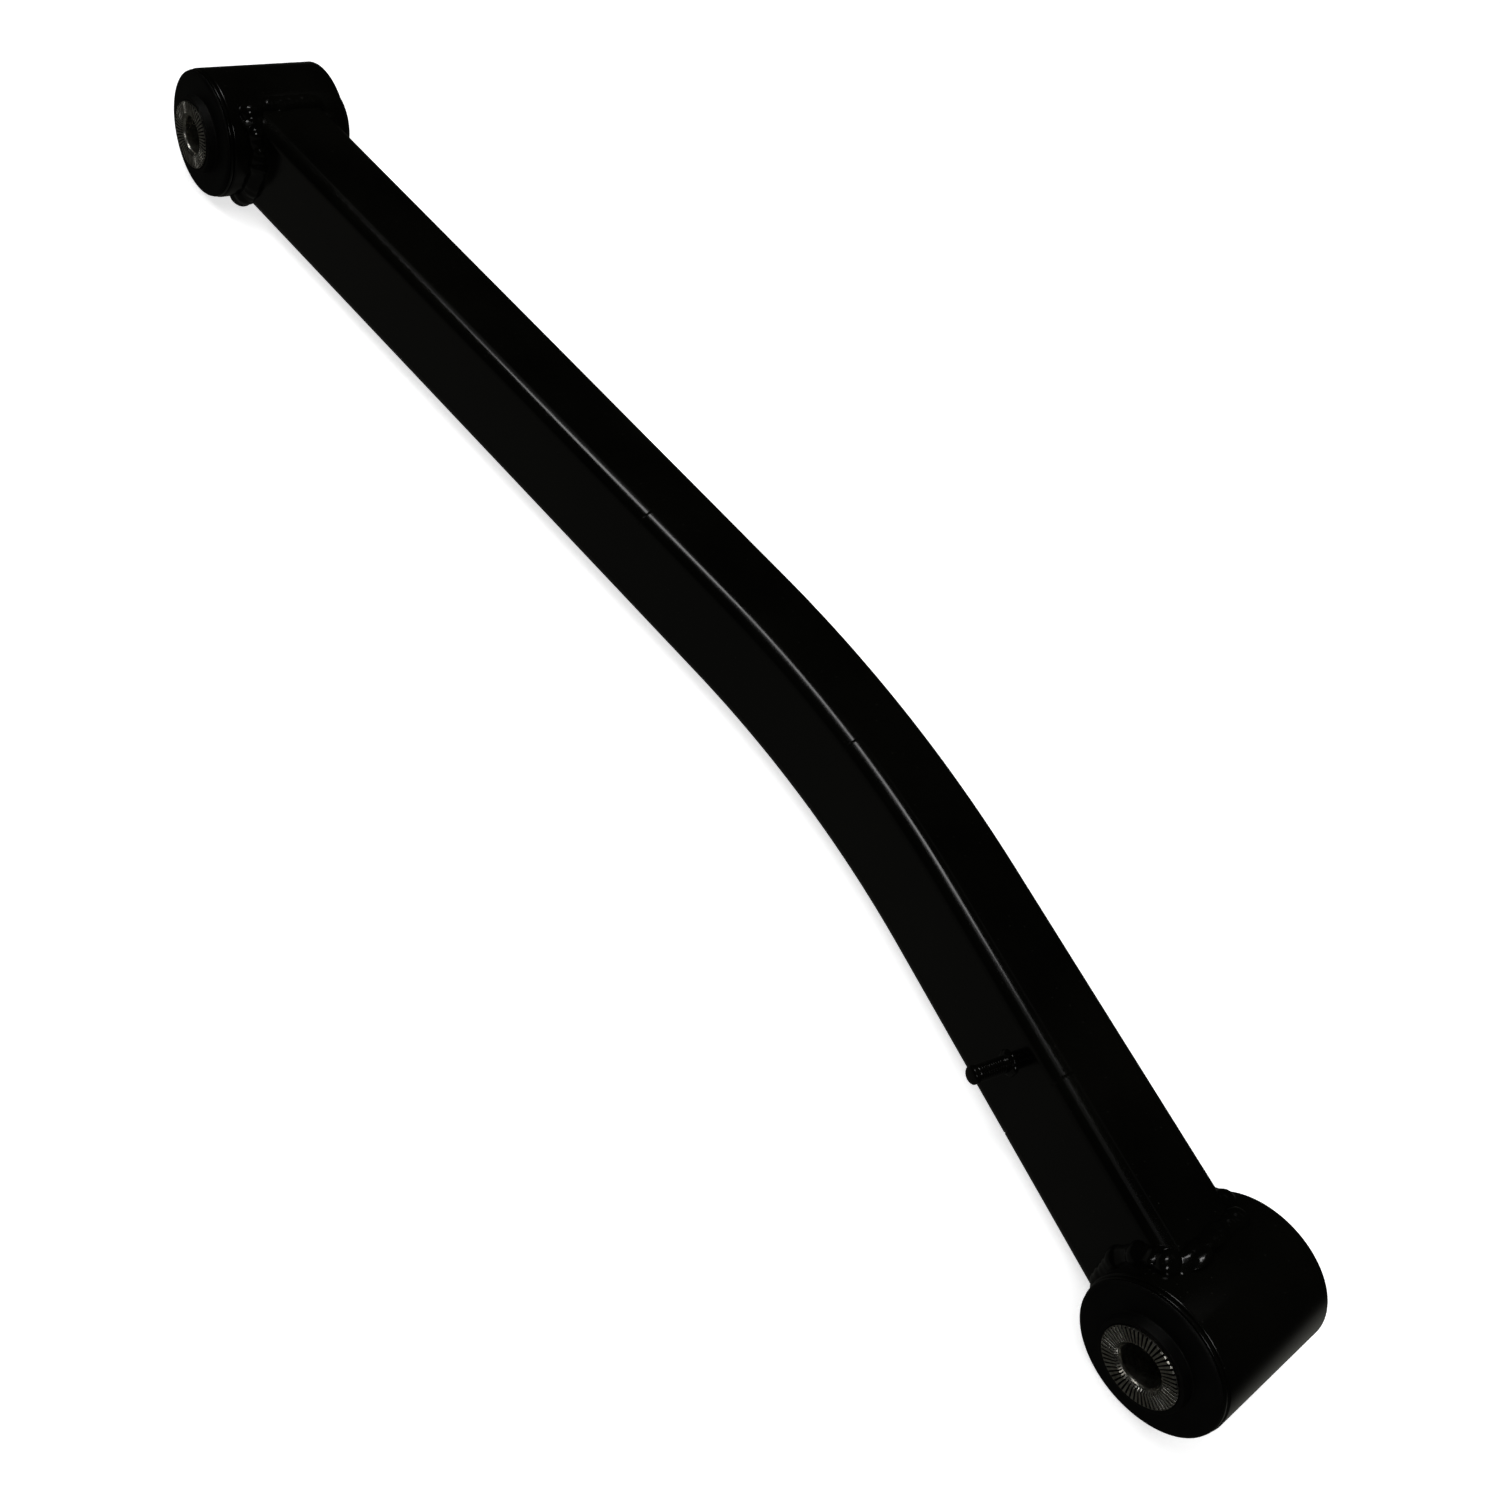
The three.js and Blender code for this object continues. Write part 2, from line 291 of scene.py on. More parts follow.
class Shader:
    """Lays out one material's nodes."""

    def __init__(self, name: str) -> None:
        """Starts an empty material with a Principled surface.

        Args:
            name: the material's name.
        """
        self.material = bpy.data.materials.new(name)
        self.material.use_nodes = True
        self.tree = self.material.node_tree
        self.tree.nodes.clear()
        self.surface = self.add("ShaderNodeBsdfPrincipled")
        output = self.add("ShaderNodeOutputMaterial")
        self.tree.links.new(self.surface.outputs["BSDF"], output.inputs["Surface"])
        self.place = self.add("ShaderNodeTexCoord").outputs["Object"]

    def add(self, kind: str, **values: object) -> bpy.types.Node:
        """Adds a node and sets its inputs (by socket name) or properties.

        Args:
            kind: the node's type.
            **values: sockets, with spaces as underscores, or properties.

        Returns:
            The new node.
        """
        node = self.tree.nodes.new(kind)
        for key, value in values.items():
            socket = key.replace("_", " ")
            if socket in node.inputs:
                node.inputs[socket].default_value = value
            else:
                setattr(node, key, value)
        return node

    def join(self, source: bpy.types.NodeSocket, target: bpy.types.NodeSocket) -> None:
        """Links two sockets."""
        self.tree.links.new(source, target)

    def grain(
        self, scale: float, detail: float = 4.0, roughness: float = 0.55
    ) -> bpy.types.NodeSocket:
        """Cloudy noise in the object's own coordinates.

        Args:
            scale: how many features there are to a metre.
            detail: octaves of finer noise.
            roughness: how strong the finer octaves are.

        Returns:
            A value from 0 to 1.
        """
        texture = self.add("ShaderNodeTexNoise", Scale=scale, Detail=detail, Roughness=roughness)
        self.join(self.place, texture.inputs["Vector"])
        return texture.outputs["Fac"]

    def specks(self, scale: float, size: float) -> bpy.types.NodeSocket:
        """Scattered round dots.

        Args:
            scale: cells to a metre; each may hold one dot.
            size: the dots' radius as a share of a cell.

        Returns:
            1 inside the dots and 0 outside.
        """
        cells = self.add("ShaderNodeTexVoronoi", Scale=scale, Randomness=1.0)
        self.join(self.place, cells.inputs["Vector"])
        return self.ramp(cells.outputs["Distance"], [(0.0, 1.0), (size, 1.0), (size * 1.6, 0.0)])

    def ramp(self, source: bpy.types.NodeSocket, stops: Stops) -> bpy.types.NodeSocket:
        """Maps a value through grey stops.

        Args:
            source: the value to map.
            stops: pairs of place and grey level, in order.

        Returns:
            The mapped value.
        """
        node = self.add("ShaderNodeValToRGB")
        set_stops(node, stops)
        self.join(source, node.inputs["Fac"])
        return node.outputs["Color"]

    def blend(
        self, amount: bpy.types.NodeSocket, first: Colour, second: Colour
    ) -> bpy.types.NodeSocket:
        """Mixes two fixed colours.

        Args:
            amount: 0 gives the first colour and 1 the second.
            first: the colour at 0.
            second: the colour at 1.

        Returns:
            The mixed colour.
        """
        node = self.add("ShaderNodeMix", data_type="RGBA")
        node.inputs["A"].default_value = (*first, 1.0)
        node.inputs["B"].default_value = (*second, 1.0)
        self.join(amount, node.inputs["Factor"])
        return node.outputs["Result"]

    def overlay(
        self, amount: bpy.types.NodeSocket, under: bpy.types.NodeSocket, over: Colour
    ) -> bpy.types.NodeSocket:
        """Lays a fixed colour over another where the amount is high.

        Args:
            amount: the mask.
            under: the colour beneath.
            over: the colour on top.

        Returns:
            The result's colour.
        """
        node = self.add("ShaderNodeMix", data_type="RGBA")
        self.join(amount, node.inputs["Factor"])
        self.join(under, node.inputs["A"])
        node.inputs["B"].default_value = (*over, 1.0)
        return node.outputs["Result"]

    def combine(
        self, how: str, first: bpy.types.NodeSocket, second: bpy.types.NodeSocket | float
    ) -> bpy.types.NodeSocket:
        """Does one sum on a value.

        Args:
            how: the Math operation, such as "MULTIPLY".
            first: the first value.
            second: the second value, a socket or a number.

        Returns:
            The result.
        """
        node = self.add("ShaderNodeMath", operation=how)
        self.join(first, node.inputs[0])
        if isinstance(second, (int, float)):
            node.inputs[1].default_value = second
        else:
            self.join(second, node.inputs[1])
        return node.outputs["Value"]

    def span(self, source: bpy.types.NodeSocket, low: float, high: float) -> bpy.types.NodeSocket:
        """Stretches a 0 to 1 value over another range.

        Args:
            source: the value.
            low: what 0 becomes.
            high: what 1 becomes.

        Returns:
            The stretched value.
        """
        node = self.add("ShaderNodeMapRange", To_Min=low, To_Max=high)
        self.join(source, node.inputs["Value"])
        return node.outputs["Result"]

    def relief(self, layers: Iterable[tuple[bpy.types.NodeSocket, float, float]]) -> None:
        """Stacks bump layers on the surface.

        Args:
            layers: each height with its strength and its depth in metres.
        """
        normal = None
        for height, strength, depth in layers:
            bump = self.add("ShaderNodeBump", Strength=strength, Distance=depth)
            self.join(height, bump.inputs["Height"])
            if normal is not None:
                self.join(normal, bump.inputs["Normal"])
            normal = bump.outputs["Normal"]
        if normal is not None:
            self.join(normal, self.surface.inputs["Normal"])


class PaintCoat(Enum):
    """How a painted surface was made ready before its coat."""

    ROLLED_TUBE = "rolled_tube"
    TURNED_EYE = "turned_eye"
    WELD_METAL = "weld_metal"


@dataclass(frozen=True)
class BlackPaint:
    """Thin black gloss paint over steel.

    Attributes:
        coat: what lies under the paint.
        deep: the darkest colour of the coat.
        worn: the colour where it lies thin.
        gloss_low: roughness where it is glossiest.
        gloss_high: roughness where it is dullest.
        gloss_extra: roughness added to that where dull patches and mottle meet.
        patch_share: how much the large patches count against the mottle.
        peel_depth: height of the orange peel, in metres.
        dust: colour of the fine dust caught in the coat.
    """

    coat: PaintCoat
    deep: Colour = (0.0011, 0.0011, 0.0008)
    worn: Colour = (0.0026, 0.0026, 0.0019)
    gloss_low: float = 0.07
    gloss_high: float = 0.15
    gloss_extra: float = 0.05
    patch_share: float = 0.55
    peel_depth: float = 0.00002
    dust: Colour = (0.02, 0.02, 0.017)

    def make(self) -> bpy.types.Material:
        """Builds the material.

        Returns:
            The finished paint.
        """
        shader = Shader(f"black_paint_{self.coat.value}")
        surface = shader.surface
        surface.inputs["IOR"].default_value = 1.5
        surface.inputs["Coat Weight"].default_value = 0.0
        patches = shader.grain(scale=24.0, detail=5.0)
        mottle = shader.grain(scale=420.0, detail=3.0)
        amount = shader.ramp(patches, [(0.32, 0.0), (0.72, 1.0)])
        colour = shader.blend(amount, self.deep, self.worn)
        dust = shader.combine("MULTIPLY", shader.specks(scale=260.0, size=0.045), mottle)
        colour = shader.overlay(dust, colour, self.dust)
        shader.join(colour, surface.inputs["Base Color"])

        dull_patches = shader.ramp(patches, [(0.3, 0.0), (0.75, 1.0)])
        dullness = shader.combine("MULTIPLY_ADD", dull_patches, self.patch_share)
        shader.join(mottle, dullness.node.inputs[2])
        shader.join(
            shader.span(dullness, self.gloss_low, self.gloss_high + self.gloss_extra),
            surface.inputs["Roughness"],
        )
        shader.relief(self.layers(shader, mottle, dust))
        return shader.material

    def layers(
        self, shader: Shader, mottle: bpy.types.NodeSocket, dust: bpy.types.NodeSocket
    ) -> list[tuple[bpy.types.NodeSocket, float, float]]:
        """Chooses the bump layers for what lies under the paint.

        Args:
            shader: the material being made.
            mottle: its medium noise.
            dust: its speck mask.

        Returns:
            The layers for Shader.relief.
        """
        peel = shader.grain(scale=900.0, detail=2.0)
        layers = [(peel, 0.25, self.peel_depth), (dust, 0.5, 0.00003)]
        if self.coat is PaintCoat.ROLLED_TUBE:
            rolling = shader.add("ShaderNodeTexNoise", Scale=1.0, Detail=3.0)
            stretch = shader.add("ShaderNodeMapping")
            stretch.inputs["Scale"].default_value = (30.0, 700.0, 700.0)
            shader.join(shader.place, stretch.inputs["Vector"])
            shader.join(stretch.outputs["Vector"], rolling.inputs["Vector"])
            layers.append((rolling.outputs["Fac"], 0.2, 0.000012))
        elif self.coat is PaintCoat.TURNED_EYE:
            layers.append((mottle, 0.15, 0.00003))
        else:
            layers.append((shader.grain(scale=1100.0, detail=2.0), 0.2, 0.00005))
        return layers


@dataclass(frozen=True)
class MouldedRubber:
    """Black bonded rubber with a faint bloom.

    Attributes:
        deep: the rubber's own colour.
        bloom: the greyer colour of the bloom on it.
        gloss_low: roughness where it is smoothest.
        gloss_high: roughness where it is dullest.
    """

    deep: Colour = (0.0014, 0.0014, 0.0012)
    bloom: Colour = (0.0042, 0.0042, 0.0036)
    gloss_low: float = 0.42
    gloss_high: float = 0.6

    def make(self) -> bpy.types.Material:
        """Builds the material.

        Returns:
            The finished rubber.
        """
        shader = Shader("moulded_rubber")
        surface = shader.surface
        surface.inputs["Specular IOR Level"].default_value = 0.22
        surface.inputs["IOR"].default_value = 1.5
        patches = shader.grain(scale=110.0, detail=6.0)
        amount = shader.ramp(patches, [(0.4, 0.0), (0.8, 1.0)])
        shader.join(shader.blend(amount, self.deep, self.bloom), surface.inputs["Base Color"])
        shader.join(
            shader.span(patches, self.gloss_low, self.gloss_high), surface.inputs["Roughness"]
        )
        skin = shader.grain(scale=2600.0, detail=3.0)
        pits = shader.specks(scale=900.0, size=0.09)
        shader.relief([(skin, 0.4, 0.00003), (patches, 0.3, 0.00015), (pits, 0.3, -0.00004)])
        return shader.material


@dataclass(frozen=True)
class BareSteel:
    """Bare machined steel with a film of oil; painted shade, with a little grime, darkens the low
    places of its serrations.

    Attributes:
        bright: the clean metal.
        stained: the metal under old oil.
        gloss_low: roughness where it is clean.
        gloss_high: roughness where it is stained.
        grime_and_shade: the dark colour at the bottom of the serrations, painted shade with a
            little grime.
    """

    bright: Colour = (0.62, 0.61, 0.55)
    stained: Colour = (0.26, 0.24, 0.2)
    gloss_low: float = 0.2
    gloss_high: float = 0.42
    grime_and_shade: Colour = (0.012, 0.011, 0.01)

    def make(self) -> bpy.types.Material:
        """Builds the material.

        Returns:
            The finished steel.
        """
        shader = Shader("bare_steel")
        surface = shader.surface
        surface.inputs["Metallic"].default_value = 1.0
        stains = shader.grain(scale=260.0, detail=6.0, roughness=0.65)
        amount = shader.ramp(stains, [(0.42, 0.0), (0.7, 1.0)])
        groove = shader.add("ShaderNodeAttribute", attribute_name=GROOVE).outputs["Fac"]
        metal = shader.blend(amount, self.bright, self.stained)
        # Painted shade: the serration grooves darken towards their bottoms, with a little grime.
        depth = shader.ramp(groove, [(0.05, 0.0), (0.4, 1.0)])
        shader.join(shader.overlay(depth, metal, self.grime_and_shade), surface.inputs["Base Color"])
        shader.join(
            shader.span(stains, self.gloss_low, self.gloss_high), surface.inputs["Roughness"]
        )
        scratches = shader.grain(scale=5200.0, detail=2.0)
        shader.relief([(scratches, 0.3, 0.00002), (stains, 0.25, 0.00005)])
        return shader.material


def dress(piece: bpy.types.Object, material: bpy.types.Material) -> None:
    """Gives a piece one material all over.

    Args:
        piece: the object.
        material: its finish.
    """
    piece.data.materials.clear()
    piece.data.materials.append(material)


def hand_over(
    piece: bpy.types.Object, body: str, slot: str, material: bpy.types.Material, *nodes: str
) -> None:
    """Dresses a finished piece and ties it to its body and the CAD nodes it stands for.

    Args:
        piece: the finished object.
        body: the body it rides on.
        slot: the record's material slot; not used.
        material: its finish.
        *nodes: the CAD nodes it stands for.
    """
    dress(piece, material)
    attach(piece, body)
    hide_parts(*nodes)
    put_down()
    LOG.info("%s: %d faces", piece.name, len(piece.data.polygons))


# ---------------------------------------------------------------------------------------------
# The tube's centre line
# ---------------------------------------------------------------------------------------------
@dataclass
class CentreLine:
    """Straight, one arc, straight, at the height of the eye centres; lengths in mm.

    Attributes:
        near_eye: the near eye's centre, in metres.
        far_eye: the far eye's centre, in metres.
        near_offset: how far the line runs in front of the near eye's centre.
        far_offset: the same at the far eye.
        bend_along: where the straight lines would cross, from the near eye.
        bend_depth: how far that crossing lies behind the eyes.
        bend_radius: the arc's radius.
    """

    near_eye: Vector
    far_eye: Vector
    near_offset: float = 3.2
    far_offset: float = 1.8
    bend_along: float = 215.0
    bend_depth: float = 38.1
    bend_radius: float = 466.0

    def __post_init__(self) -> None:
        """Works out the two directions, the arc's ends and its centre."""
        self.near_point = self.near_eye + Vector((0.0, self.near_offset, 0.0)) * MM
        self.far_point = self.far_eye + Vector((0.0, self.far_offset, 0.0)) * MM
        crossing = self.near_eye + Vector((self.bend_along, -self.bend_depth, 0.0)) * MM
        self.near_run = (crossing - self.near_point).normalized()
        self.far_run = (self.far_point - crossing).normalized()
        self.turn = self.near_run.angle(self.far_run)
        tangent = self.bend_radius * MM * math.tan(self.turn / 2)
        self.arc_start = crossing - self.near_run * tangent
        self.arc_end = crossing + self.far_run * tangent
        self.arc_centre = self.arc_start + self.side(self.near_run) * self.bend_radius * MM

    @staticmethod
    def side(run: Vector) -> Vector:
        """The level normal on the front side of a run."""
        return Vector((-run.y, run.x, 0.0))


# ---------------------------------------------------------------------------------------------
# Sub-assemblies
# ---------------------------------------------------------------------------------------------
@dataclass
class ArmTube:
    """The rectangular tube, bent once, with three press marks and round-cut ends; sizes in mm.

    Attributes:
        line: its centre line.
        width: its size along the bolts.
        height: its upright size.
        corner: its outside corner radius.
        wall: its wall.
        inset: where the uncut ends stand, from each eye centre.
        eye_radius: outside radius of the eyes that the ends are cut to.
        marks: where the press marks lie, from the middle of the bend.
        mark_depth: how deep a press mark is.
        mark_width: half the width of a press mark.
        mark_edge: how far a press mark keeps from the flats beside its corner.
        slack: room for rounding errors when a crease is looked for.
        cope_gap: room between the cut ends and the eyes.
        corner_flats: how many flats each rounded corner has.
        bend_rings: rings on each side of the middle press mark.
        rings: middle and direction of each press mark, filled as the tube is drawn.
    """

    line: CentreLine
    width: float = 34.0
    height: float = 43.0
    corner: float = 6.0
    wall: float = 3.0
    inset: float = 12.0
    eye_radius: float = 25.75
    marks: tuple[float, float, float] = (-142.0, -4.8, 116.0)
    mark_depth: float = 0.3
    mark_width: float = 0.5
    mark_edge: float = 0.4
    slack: float = 0.1
    cope_gap: float = 0.05
    corner_flats: int = 12
    bend_rings: int = 26
    rings: list[tuple[Vector, Vector]] = field(default_factory=list)

    def build(self) -> bpy.types.Object:
        """Models the tube.

        Returns:
            The finished tube.
        """
        tube = self.section()
        self.draw_out(tube)
        self.press_marks(tube)
        close_mesh()
        finish_modifier(tube, "SOLIDIFY", thickness=self.wall * MM, offset=-1.0)
        for centre in (self.line.near_eye, self.line.far_eye):
            self.cope(tube, centre)
        smooth_faces(tube, 12.0)
        finish_modifier(tube, "WEIGHTED_NORMAL", keep_sharp=True, weight=90)
        return named(tube, "arm_tube_skin")

    def section(self) -> bpy.types.Object:
        """Draws the rounded outline at the near end.

        Returns:
            The object in edit mode, its open outline selected.
        """
        line = self.line
        put_down()
        bpy.ops.mesh.primitive_plane_add(
            size=1.0,
            location=line.near_point + line.near_run * self.inset * MM,
            rotation=(0.0, math.pi / 2, math.atan2(line.near_run.y, line.near_run.x)),
        )
        tube = bpy.context.object
        tube.scale = (self.height * MM, self.width * MM, 1.0)
        settle(tube)
        open_mesh()
        bpy.ops.mesh.bevel(
            affect="VERTICES",
            offset=self.corner * MM,
            segments=self.corner_flats,
            profile=0.5,
        )
        keep_outline()
        return tube

    def draw_out(self, tube: bpy.types.Object) -> None:
        """Draws the outline along the centre line, with narrow rings at the press marks.

        Args:
            tube: the object in edit mode, its outline selected.
        """
        line = self.line
        half = self.mark_width * MM
        start = line.near_point + line.near_run * self.inset * MM
        near_mark = line.arc_start + line.near_run * (self.middle() + self.marks[0] * MM)
        self.extrude_to(start, near_mark - line.near_run * half)
        self.draw_mark(near_mark, line.near_run)
        self.extrude_to(near_mark + line.near_run * half, line.arc_start)

        radius = line.bend_radius * MM
        middle_angle = (self.middle() + self.marks[1] * MM) / radius
        narrow = half / radius
        self.bend(middle_angle - narrow, self.bend_rings)
        self.bend(2 * narrow, 2)
        self.bend(line.turn - middle_angle - narrow, self.bend_rings)
        turned = Matrix.Rotation(middle_angle, 3, "Z") @ line.near_run
        self.rings.append((line.arc_centre - line.side(turned) * radius, turned))

        past_arc = self.middle() + self.marks[2] * MM - radius * line.turn
        far_mark = line.arc_end + line.far_run * past_arc
        self.extrude_to(line.arc_end, far_mark - line.far_run * half)
        self.draw_mark(far_mark, line.far_run)
        self.extrude_to(
            far_mark + line.far_run * half, line.far_point - line.far_run * self.inset * MM
        )
        join_skin()
        self.face_outward(tube)

    def middle(self) -> float:
        """How far along the arc its middle lies, in metres."""
        return 0.5 * self.line.bend_radius * MM * self.line.turn

    def draw_mark(self, place: Vector, run: Vector) -> None:
        """Draws the narrow rings of one press mark on a straight run.

        Args:
            place: the press mark's middle.
            run: the tube's direction there.
        """
        for _ in range(2):
            extrude_by(run * (self.mark_width * MM))
        self.rings.append((place, run))

    def extrude_to(self, start: Vector, end: Vector, longest: float = 0.012) -> None:
        """Extrudes the selected outline from one point to another.

        Args:
            start: where the outline's middle is.
            end: where it goes.
            longest: the longest single step, in metres.
        """
        count = max(1, math.ceil((end - start).length / longest))
        for _ in range(count):
            extrude_by((end - start) / count)

    def bend(self, angle: float, steps: int) -> None:
        """Swings the selected outline round the bend's centre.

        Args:
            angle: how far, in radians.
            steps: in how many rings.
        """
        bpy.ops.mesh.spin(
            steps=steps, angle=-angle, center=self.line.arc_centre, axis=(0.0, 0.0, 1.0)
        )

    def face_outward(self, tube: bpy.types.Object) -> None:
        """Flips the skin if its top faces point down.

        Args:
            tube: the object in edit mode.
        """
        mesh = bmesh.from_edit_mesh(tube.data)
        top = max(mesh.faces, key=lambda face: face.calc_center_median().z)
        if top.normal.z < 0.0:
            bpy.ops.mesh.flip_normals()

    def press_marks(self, tube: bpy.types.Object) -> None:
        """Sinks a narrow crease across the upper and lower front corners at each press mark.

        Args:
            tube: the object in edit mode.
        """
        reach = (self.corner + self.slack) * MM
        edge = self.mark_edge * MM
        for centre, run in self.rings:
            side = self.line.side(run)
            for level in (1.0, -1.0):
                pivot = (
                    centre
                    + side * (self.width / 2 - self.corner) * MM
                    + UP * level * (self.height / 2 - self.corner) * MM
                )

                def in_corner(co: Vector) -> bool:
                    """Says whether a vertex is on this crease.

                    Args:
                        co: the vertex's place, in metres.

                    Returns:
                        True if it is.
                    """
                    away = co - pivot
                    return (
                        abs(away.dot(run)) < self.slack * MM
                        and away.dot(side) > edge
                        and away.z * level > edge
                        and away.length < reach
                    )

                select_points(tube, in_corner)
                inward = -(side + UP * level).normalized() * self.mark_depth * MM
                bpy.ops.transform.translate(value=inward)

    def cope(self, tube: bpy.types.Object, centre: Vector) -> None:
        """Cuts the tube round to fit one eye.

        Args:
            tube: the tube.
            centre: the eye's centre.
        """
        put_down()
        bpy.ops.mesh.primitive_cylinder_add(
            vertices=EYE_FLATS,
            radius=(self.eye_radius + self.cope_gap) * MM,
            depth=0.12,
            location=centre,
            rotation=(math.pi / 2, 0.0, 0.0),
        )
        cutter = bpy.context.object
        settle(cutter)
        finish_modifier(tube, "BOOLEAN", operation="DIFFERENCE", object=cutter, solver="EXACT")
        bpy.data.objects.remove(cutter)


@dataclass
class BushedEye:
    """One eye: housing, steel can, bonded rubber and serrated sleeve; sizes in mm.

    Attributes:
        prefix: "near" or "far".
        centre: the bolt's centre, in metres.
        radius: outside of the housing.
        wall: the housing's wall.
        length: the housing's length.
        can_wall: the can's wall.
        can_back: how far the can reaches behind the middle.
        flange_radius: outside of the can's flange.
        flange_thickness: the flange's thickness.
        gap: room left between neighbours.
        rubber_face: how far the rubber's front lies from the middle.
        lip_radius: outside of the rubber's front.
        lip_edge: height of the upright side of the rubber's rim.
        lip_slope: how far the rim draws in above that side.
        lip_width: how far the rounded rim reaches in from the outside.
        lip_drop: how far the rim's shoulder lies below the rubber's front.
        boss_foot: radius of the rubber boss where it leaves the front.
        boss_top: radius of the boss at its end.
        boss_height: how far the boss reaches from the middle.
        back_face: how far the rubber's back lies from the middle.
        sleeve_radius: outside of the sleeve.
        sleeve_edge: width of the cut edge at the sleeve's ends.
        sleeve_length: the sleeve's length.
        bore: radius of the bolt's hole.
        bore_chamfer: width of the hole's countersink.
        teeth: serrations on each end of the sleeve.
        tooth_depth: how deep they are at the outside.
        tooth_share: how deep they are at the bore, as a share of that.
        flats_per_tooth: flats of the turned sleeve to each serration.
        groove_shade_depth: how deep a groove is where its painted shade and grime are darkest.
    """

    prefix: str
    centre: Vector
    radius: float = 25.75
    wall: float = 3.5
    length: float = 53.0
    can_wall: float = 1.5
    can_back: float = 26.0
    flange_radius: float = 25.4
    flange_thickness: float = 1.3
    gap: float = 0.3
    rubber_face: float = 29.6
    lip_radius: float = 25.1
    lip_edge: float = 0.4
    lip_slope: float = 0.9
    lip_width: float = 2.4
    lip_drop: float = 0.12
    boss_foot: float = 15.7
    boss_top: float = 15.1
    boss_height: float = 33.2
    back_face: float = 25.6
    sleeve_radius: float = 13.5
    sleeve_edge: float = 0.4
    sleeve_length: float = 68.0
    bore: float = 7.2
    bore_chamfer: float = 1.3
    teeth: int = 54
    tooth_depth: float = 0.5
    tooth_share: float = 0.8
    flats_per_tooth: int = 4
    groove_shade_depth: float = 0.3

    def housing(self) -> bpy.types.Object:
        """Models the round housing that the tube is welded to.

        Returns:
            The finished housing.
        """
        half = self.length / 2
        inner = self.radius - self.wall
        return turn_ring(
            f"{self.prefix}_eye_ring",
            [
                Corner(inner, -half, 0.35),
                Corner(self.radius, -half, 0.8),
                Corner(self.radius, half, 0.8),
                Corner(inner, half, 0.35),
            ],
            self.centre,
            steps=EYE_FLATS,
        )

    def can(self) -> bpy.types.Object:
        """Models the steel can with its flange.

        Returns:
            The finished can.
        """
        outer = self.radius - self.wall - self.gap
        inner = outer - self.can_wall
        back = self.length / 2 + self.gap
        front = back + self.flange_thickness
        return turn_ring(
            f"{self.prefix}_bush_can",
            [
                Corner(inner, -self.can_back, 0.3),
                Corner(outer, -self.can_back, 0.3),
                Corner(outer, back),
                Corner(self.flange_radius, back, 0.35),
                Corner(self.flange_radius, front, 0.5),
                Corner(inner, front),
            ],
            self.centre,
        )

    def rubber(self) -> bpy.types.Object:
        """Models the rubber with its moulded flange and its boss round the sleeve.

        Returns:
            The finished rubber.
        """
        outer = self.radius - self.wall - 2 * self.gap - self.can_wall
        inner = self.sleeve_radius + self.gap
        lip_back = self.length / 2 + 2 * self.gap + self.flange_thickness
        return turn_ring(
            f"{self.prefix}_bush_moulding",
            [
                Corner(inner, -self.boss_height),
                Corner(self.boss_top, -self.boss_height, 0.5),
                Corner(self.boss_foot, -self.back_face, 0.8),
                Corner(outer, -self.back_face, 0.4),
                Corner(outer, lip_back),
                Corner(self.lip_radius, lip_back, 0.2),
                Corner(self.lip_radius, lip_back + self.lip_edge, 0.35),
                Corner(self.lip_radius - self.lip_slope, self.rubber_face - self.lip_drop, 0.6),
                Corner(self.lip_radius - self.lip_width, self.rubber_face, 0.7),
                Corner(self.boss_foot, self.rubber_face, 0.4),
                Corner(self.boss_top, self.boss_height, 0.2),
                Corner(inner, self.boss_height),
            ],
            self.centre,
        )

    def sleeve(self) -> bpy.types.Object:
        """Models the sleeve and cuts the serrations into both of its ends.

        Returns:
            The finished sleeve.
        """
        half = self.sleeve_length / 2
        mouth = self.bore + self.bore_chamfer
        edge = self.sleeve_edge
        sleeve = turn_ring(
            f"{self.prefix}_serrated_sleeve",
            [
                Corner(mouth, -half),
                Corner(self.sleeve_radius - edge, -half),
                Corner(self.sleeve_radius, -half + edge),
                Corner(self.sleeve_radius, half - edge),
                Corner(self.sleeve_radius - edge, half),
                Corner(mouth, half),
                Corner(self.bore, half - self.bore_chamfer, 0.7),
                Corner(self.bore, -half + self.bore_chamfer, 0.7),
            ],
            self.centre,
            steps=self.teeth * self.flats_per_tooth,
        )
        pick_up(sleeve)
        before = [vertex.co.y for vertex in sleeve.data.vertices]
        bpy.ops.object.mode_set(mode="EDIT")
        for end in (1.0, -1.0):
            self.cut_teeth(sleeve, end)
        close_mesh()
        # Each vertex keeps how far its groove sank; the steel paints shade, with a little grime,
        # from it.
        marks = sleeve.data.attributes.new(GROOVE, "FLOAT", "POINT")
        for vertex, was, mark in zip(sleeve.data.vertices, before, marks.data):
            mark.value = min(1.0, abs(vertex.co.y - was) / (self.groove_shade_depth * MM))
        smooth_faces(sleeve, 14.0)
        return sleeve

    def cut_teeth(self, sleeve: bpy.types.Object, end: float) -> None:
        """Sinks the radial grooves of one end face, shallower towards the bore.

        Args:
            sleeve: the sleeve in edit mode.
            end: 1 for the front face and -1 for the back one.
        """
        face = self.centre.y + end * self.sleeve_length / 2 * MM
        pitch = math.tau / (self.teeth * self.flats_per_tooth)
        inside = (self.bore + self.bore_chamfer) * MM
        outside = (self.sleeve_radius - self.sleeve_edge) * MM
        for rim, share in ((inside, self.tooth_share), (outside, 1.0)):

            def on_groove(co: Vector) -> bool:
                """Says whether a vertex is the bottom of a groove.

                Args:
                    co: the vertex's place, in metres.

                Returns:
                    True if it is.
                """
                away = co - self.centre
                place = round(math.atan2(away.z, away.x) / pitch)
                return (
                    abs(co.y - face) < SAME_PLACE
                    and abs(math.hypot(away.x, away.z) - rim) < 0.05 * MM
                    and place % self.flats_per_tooth == 0
                )

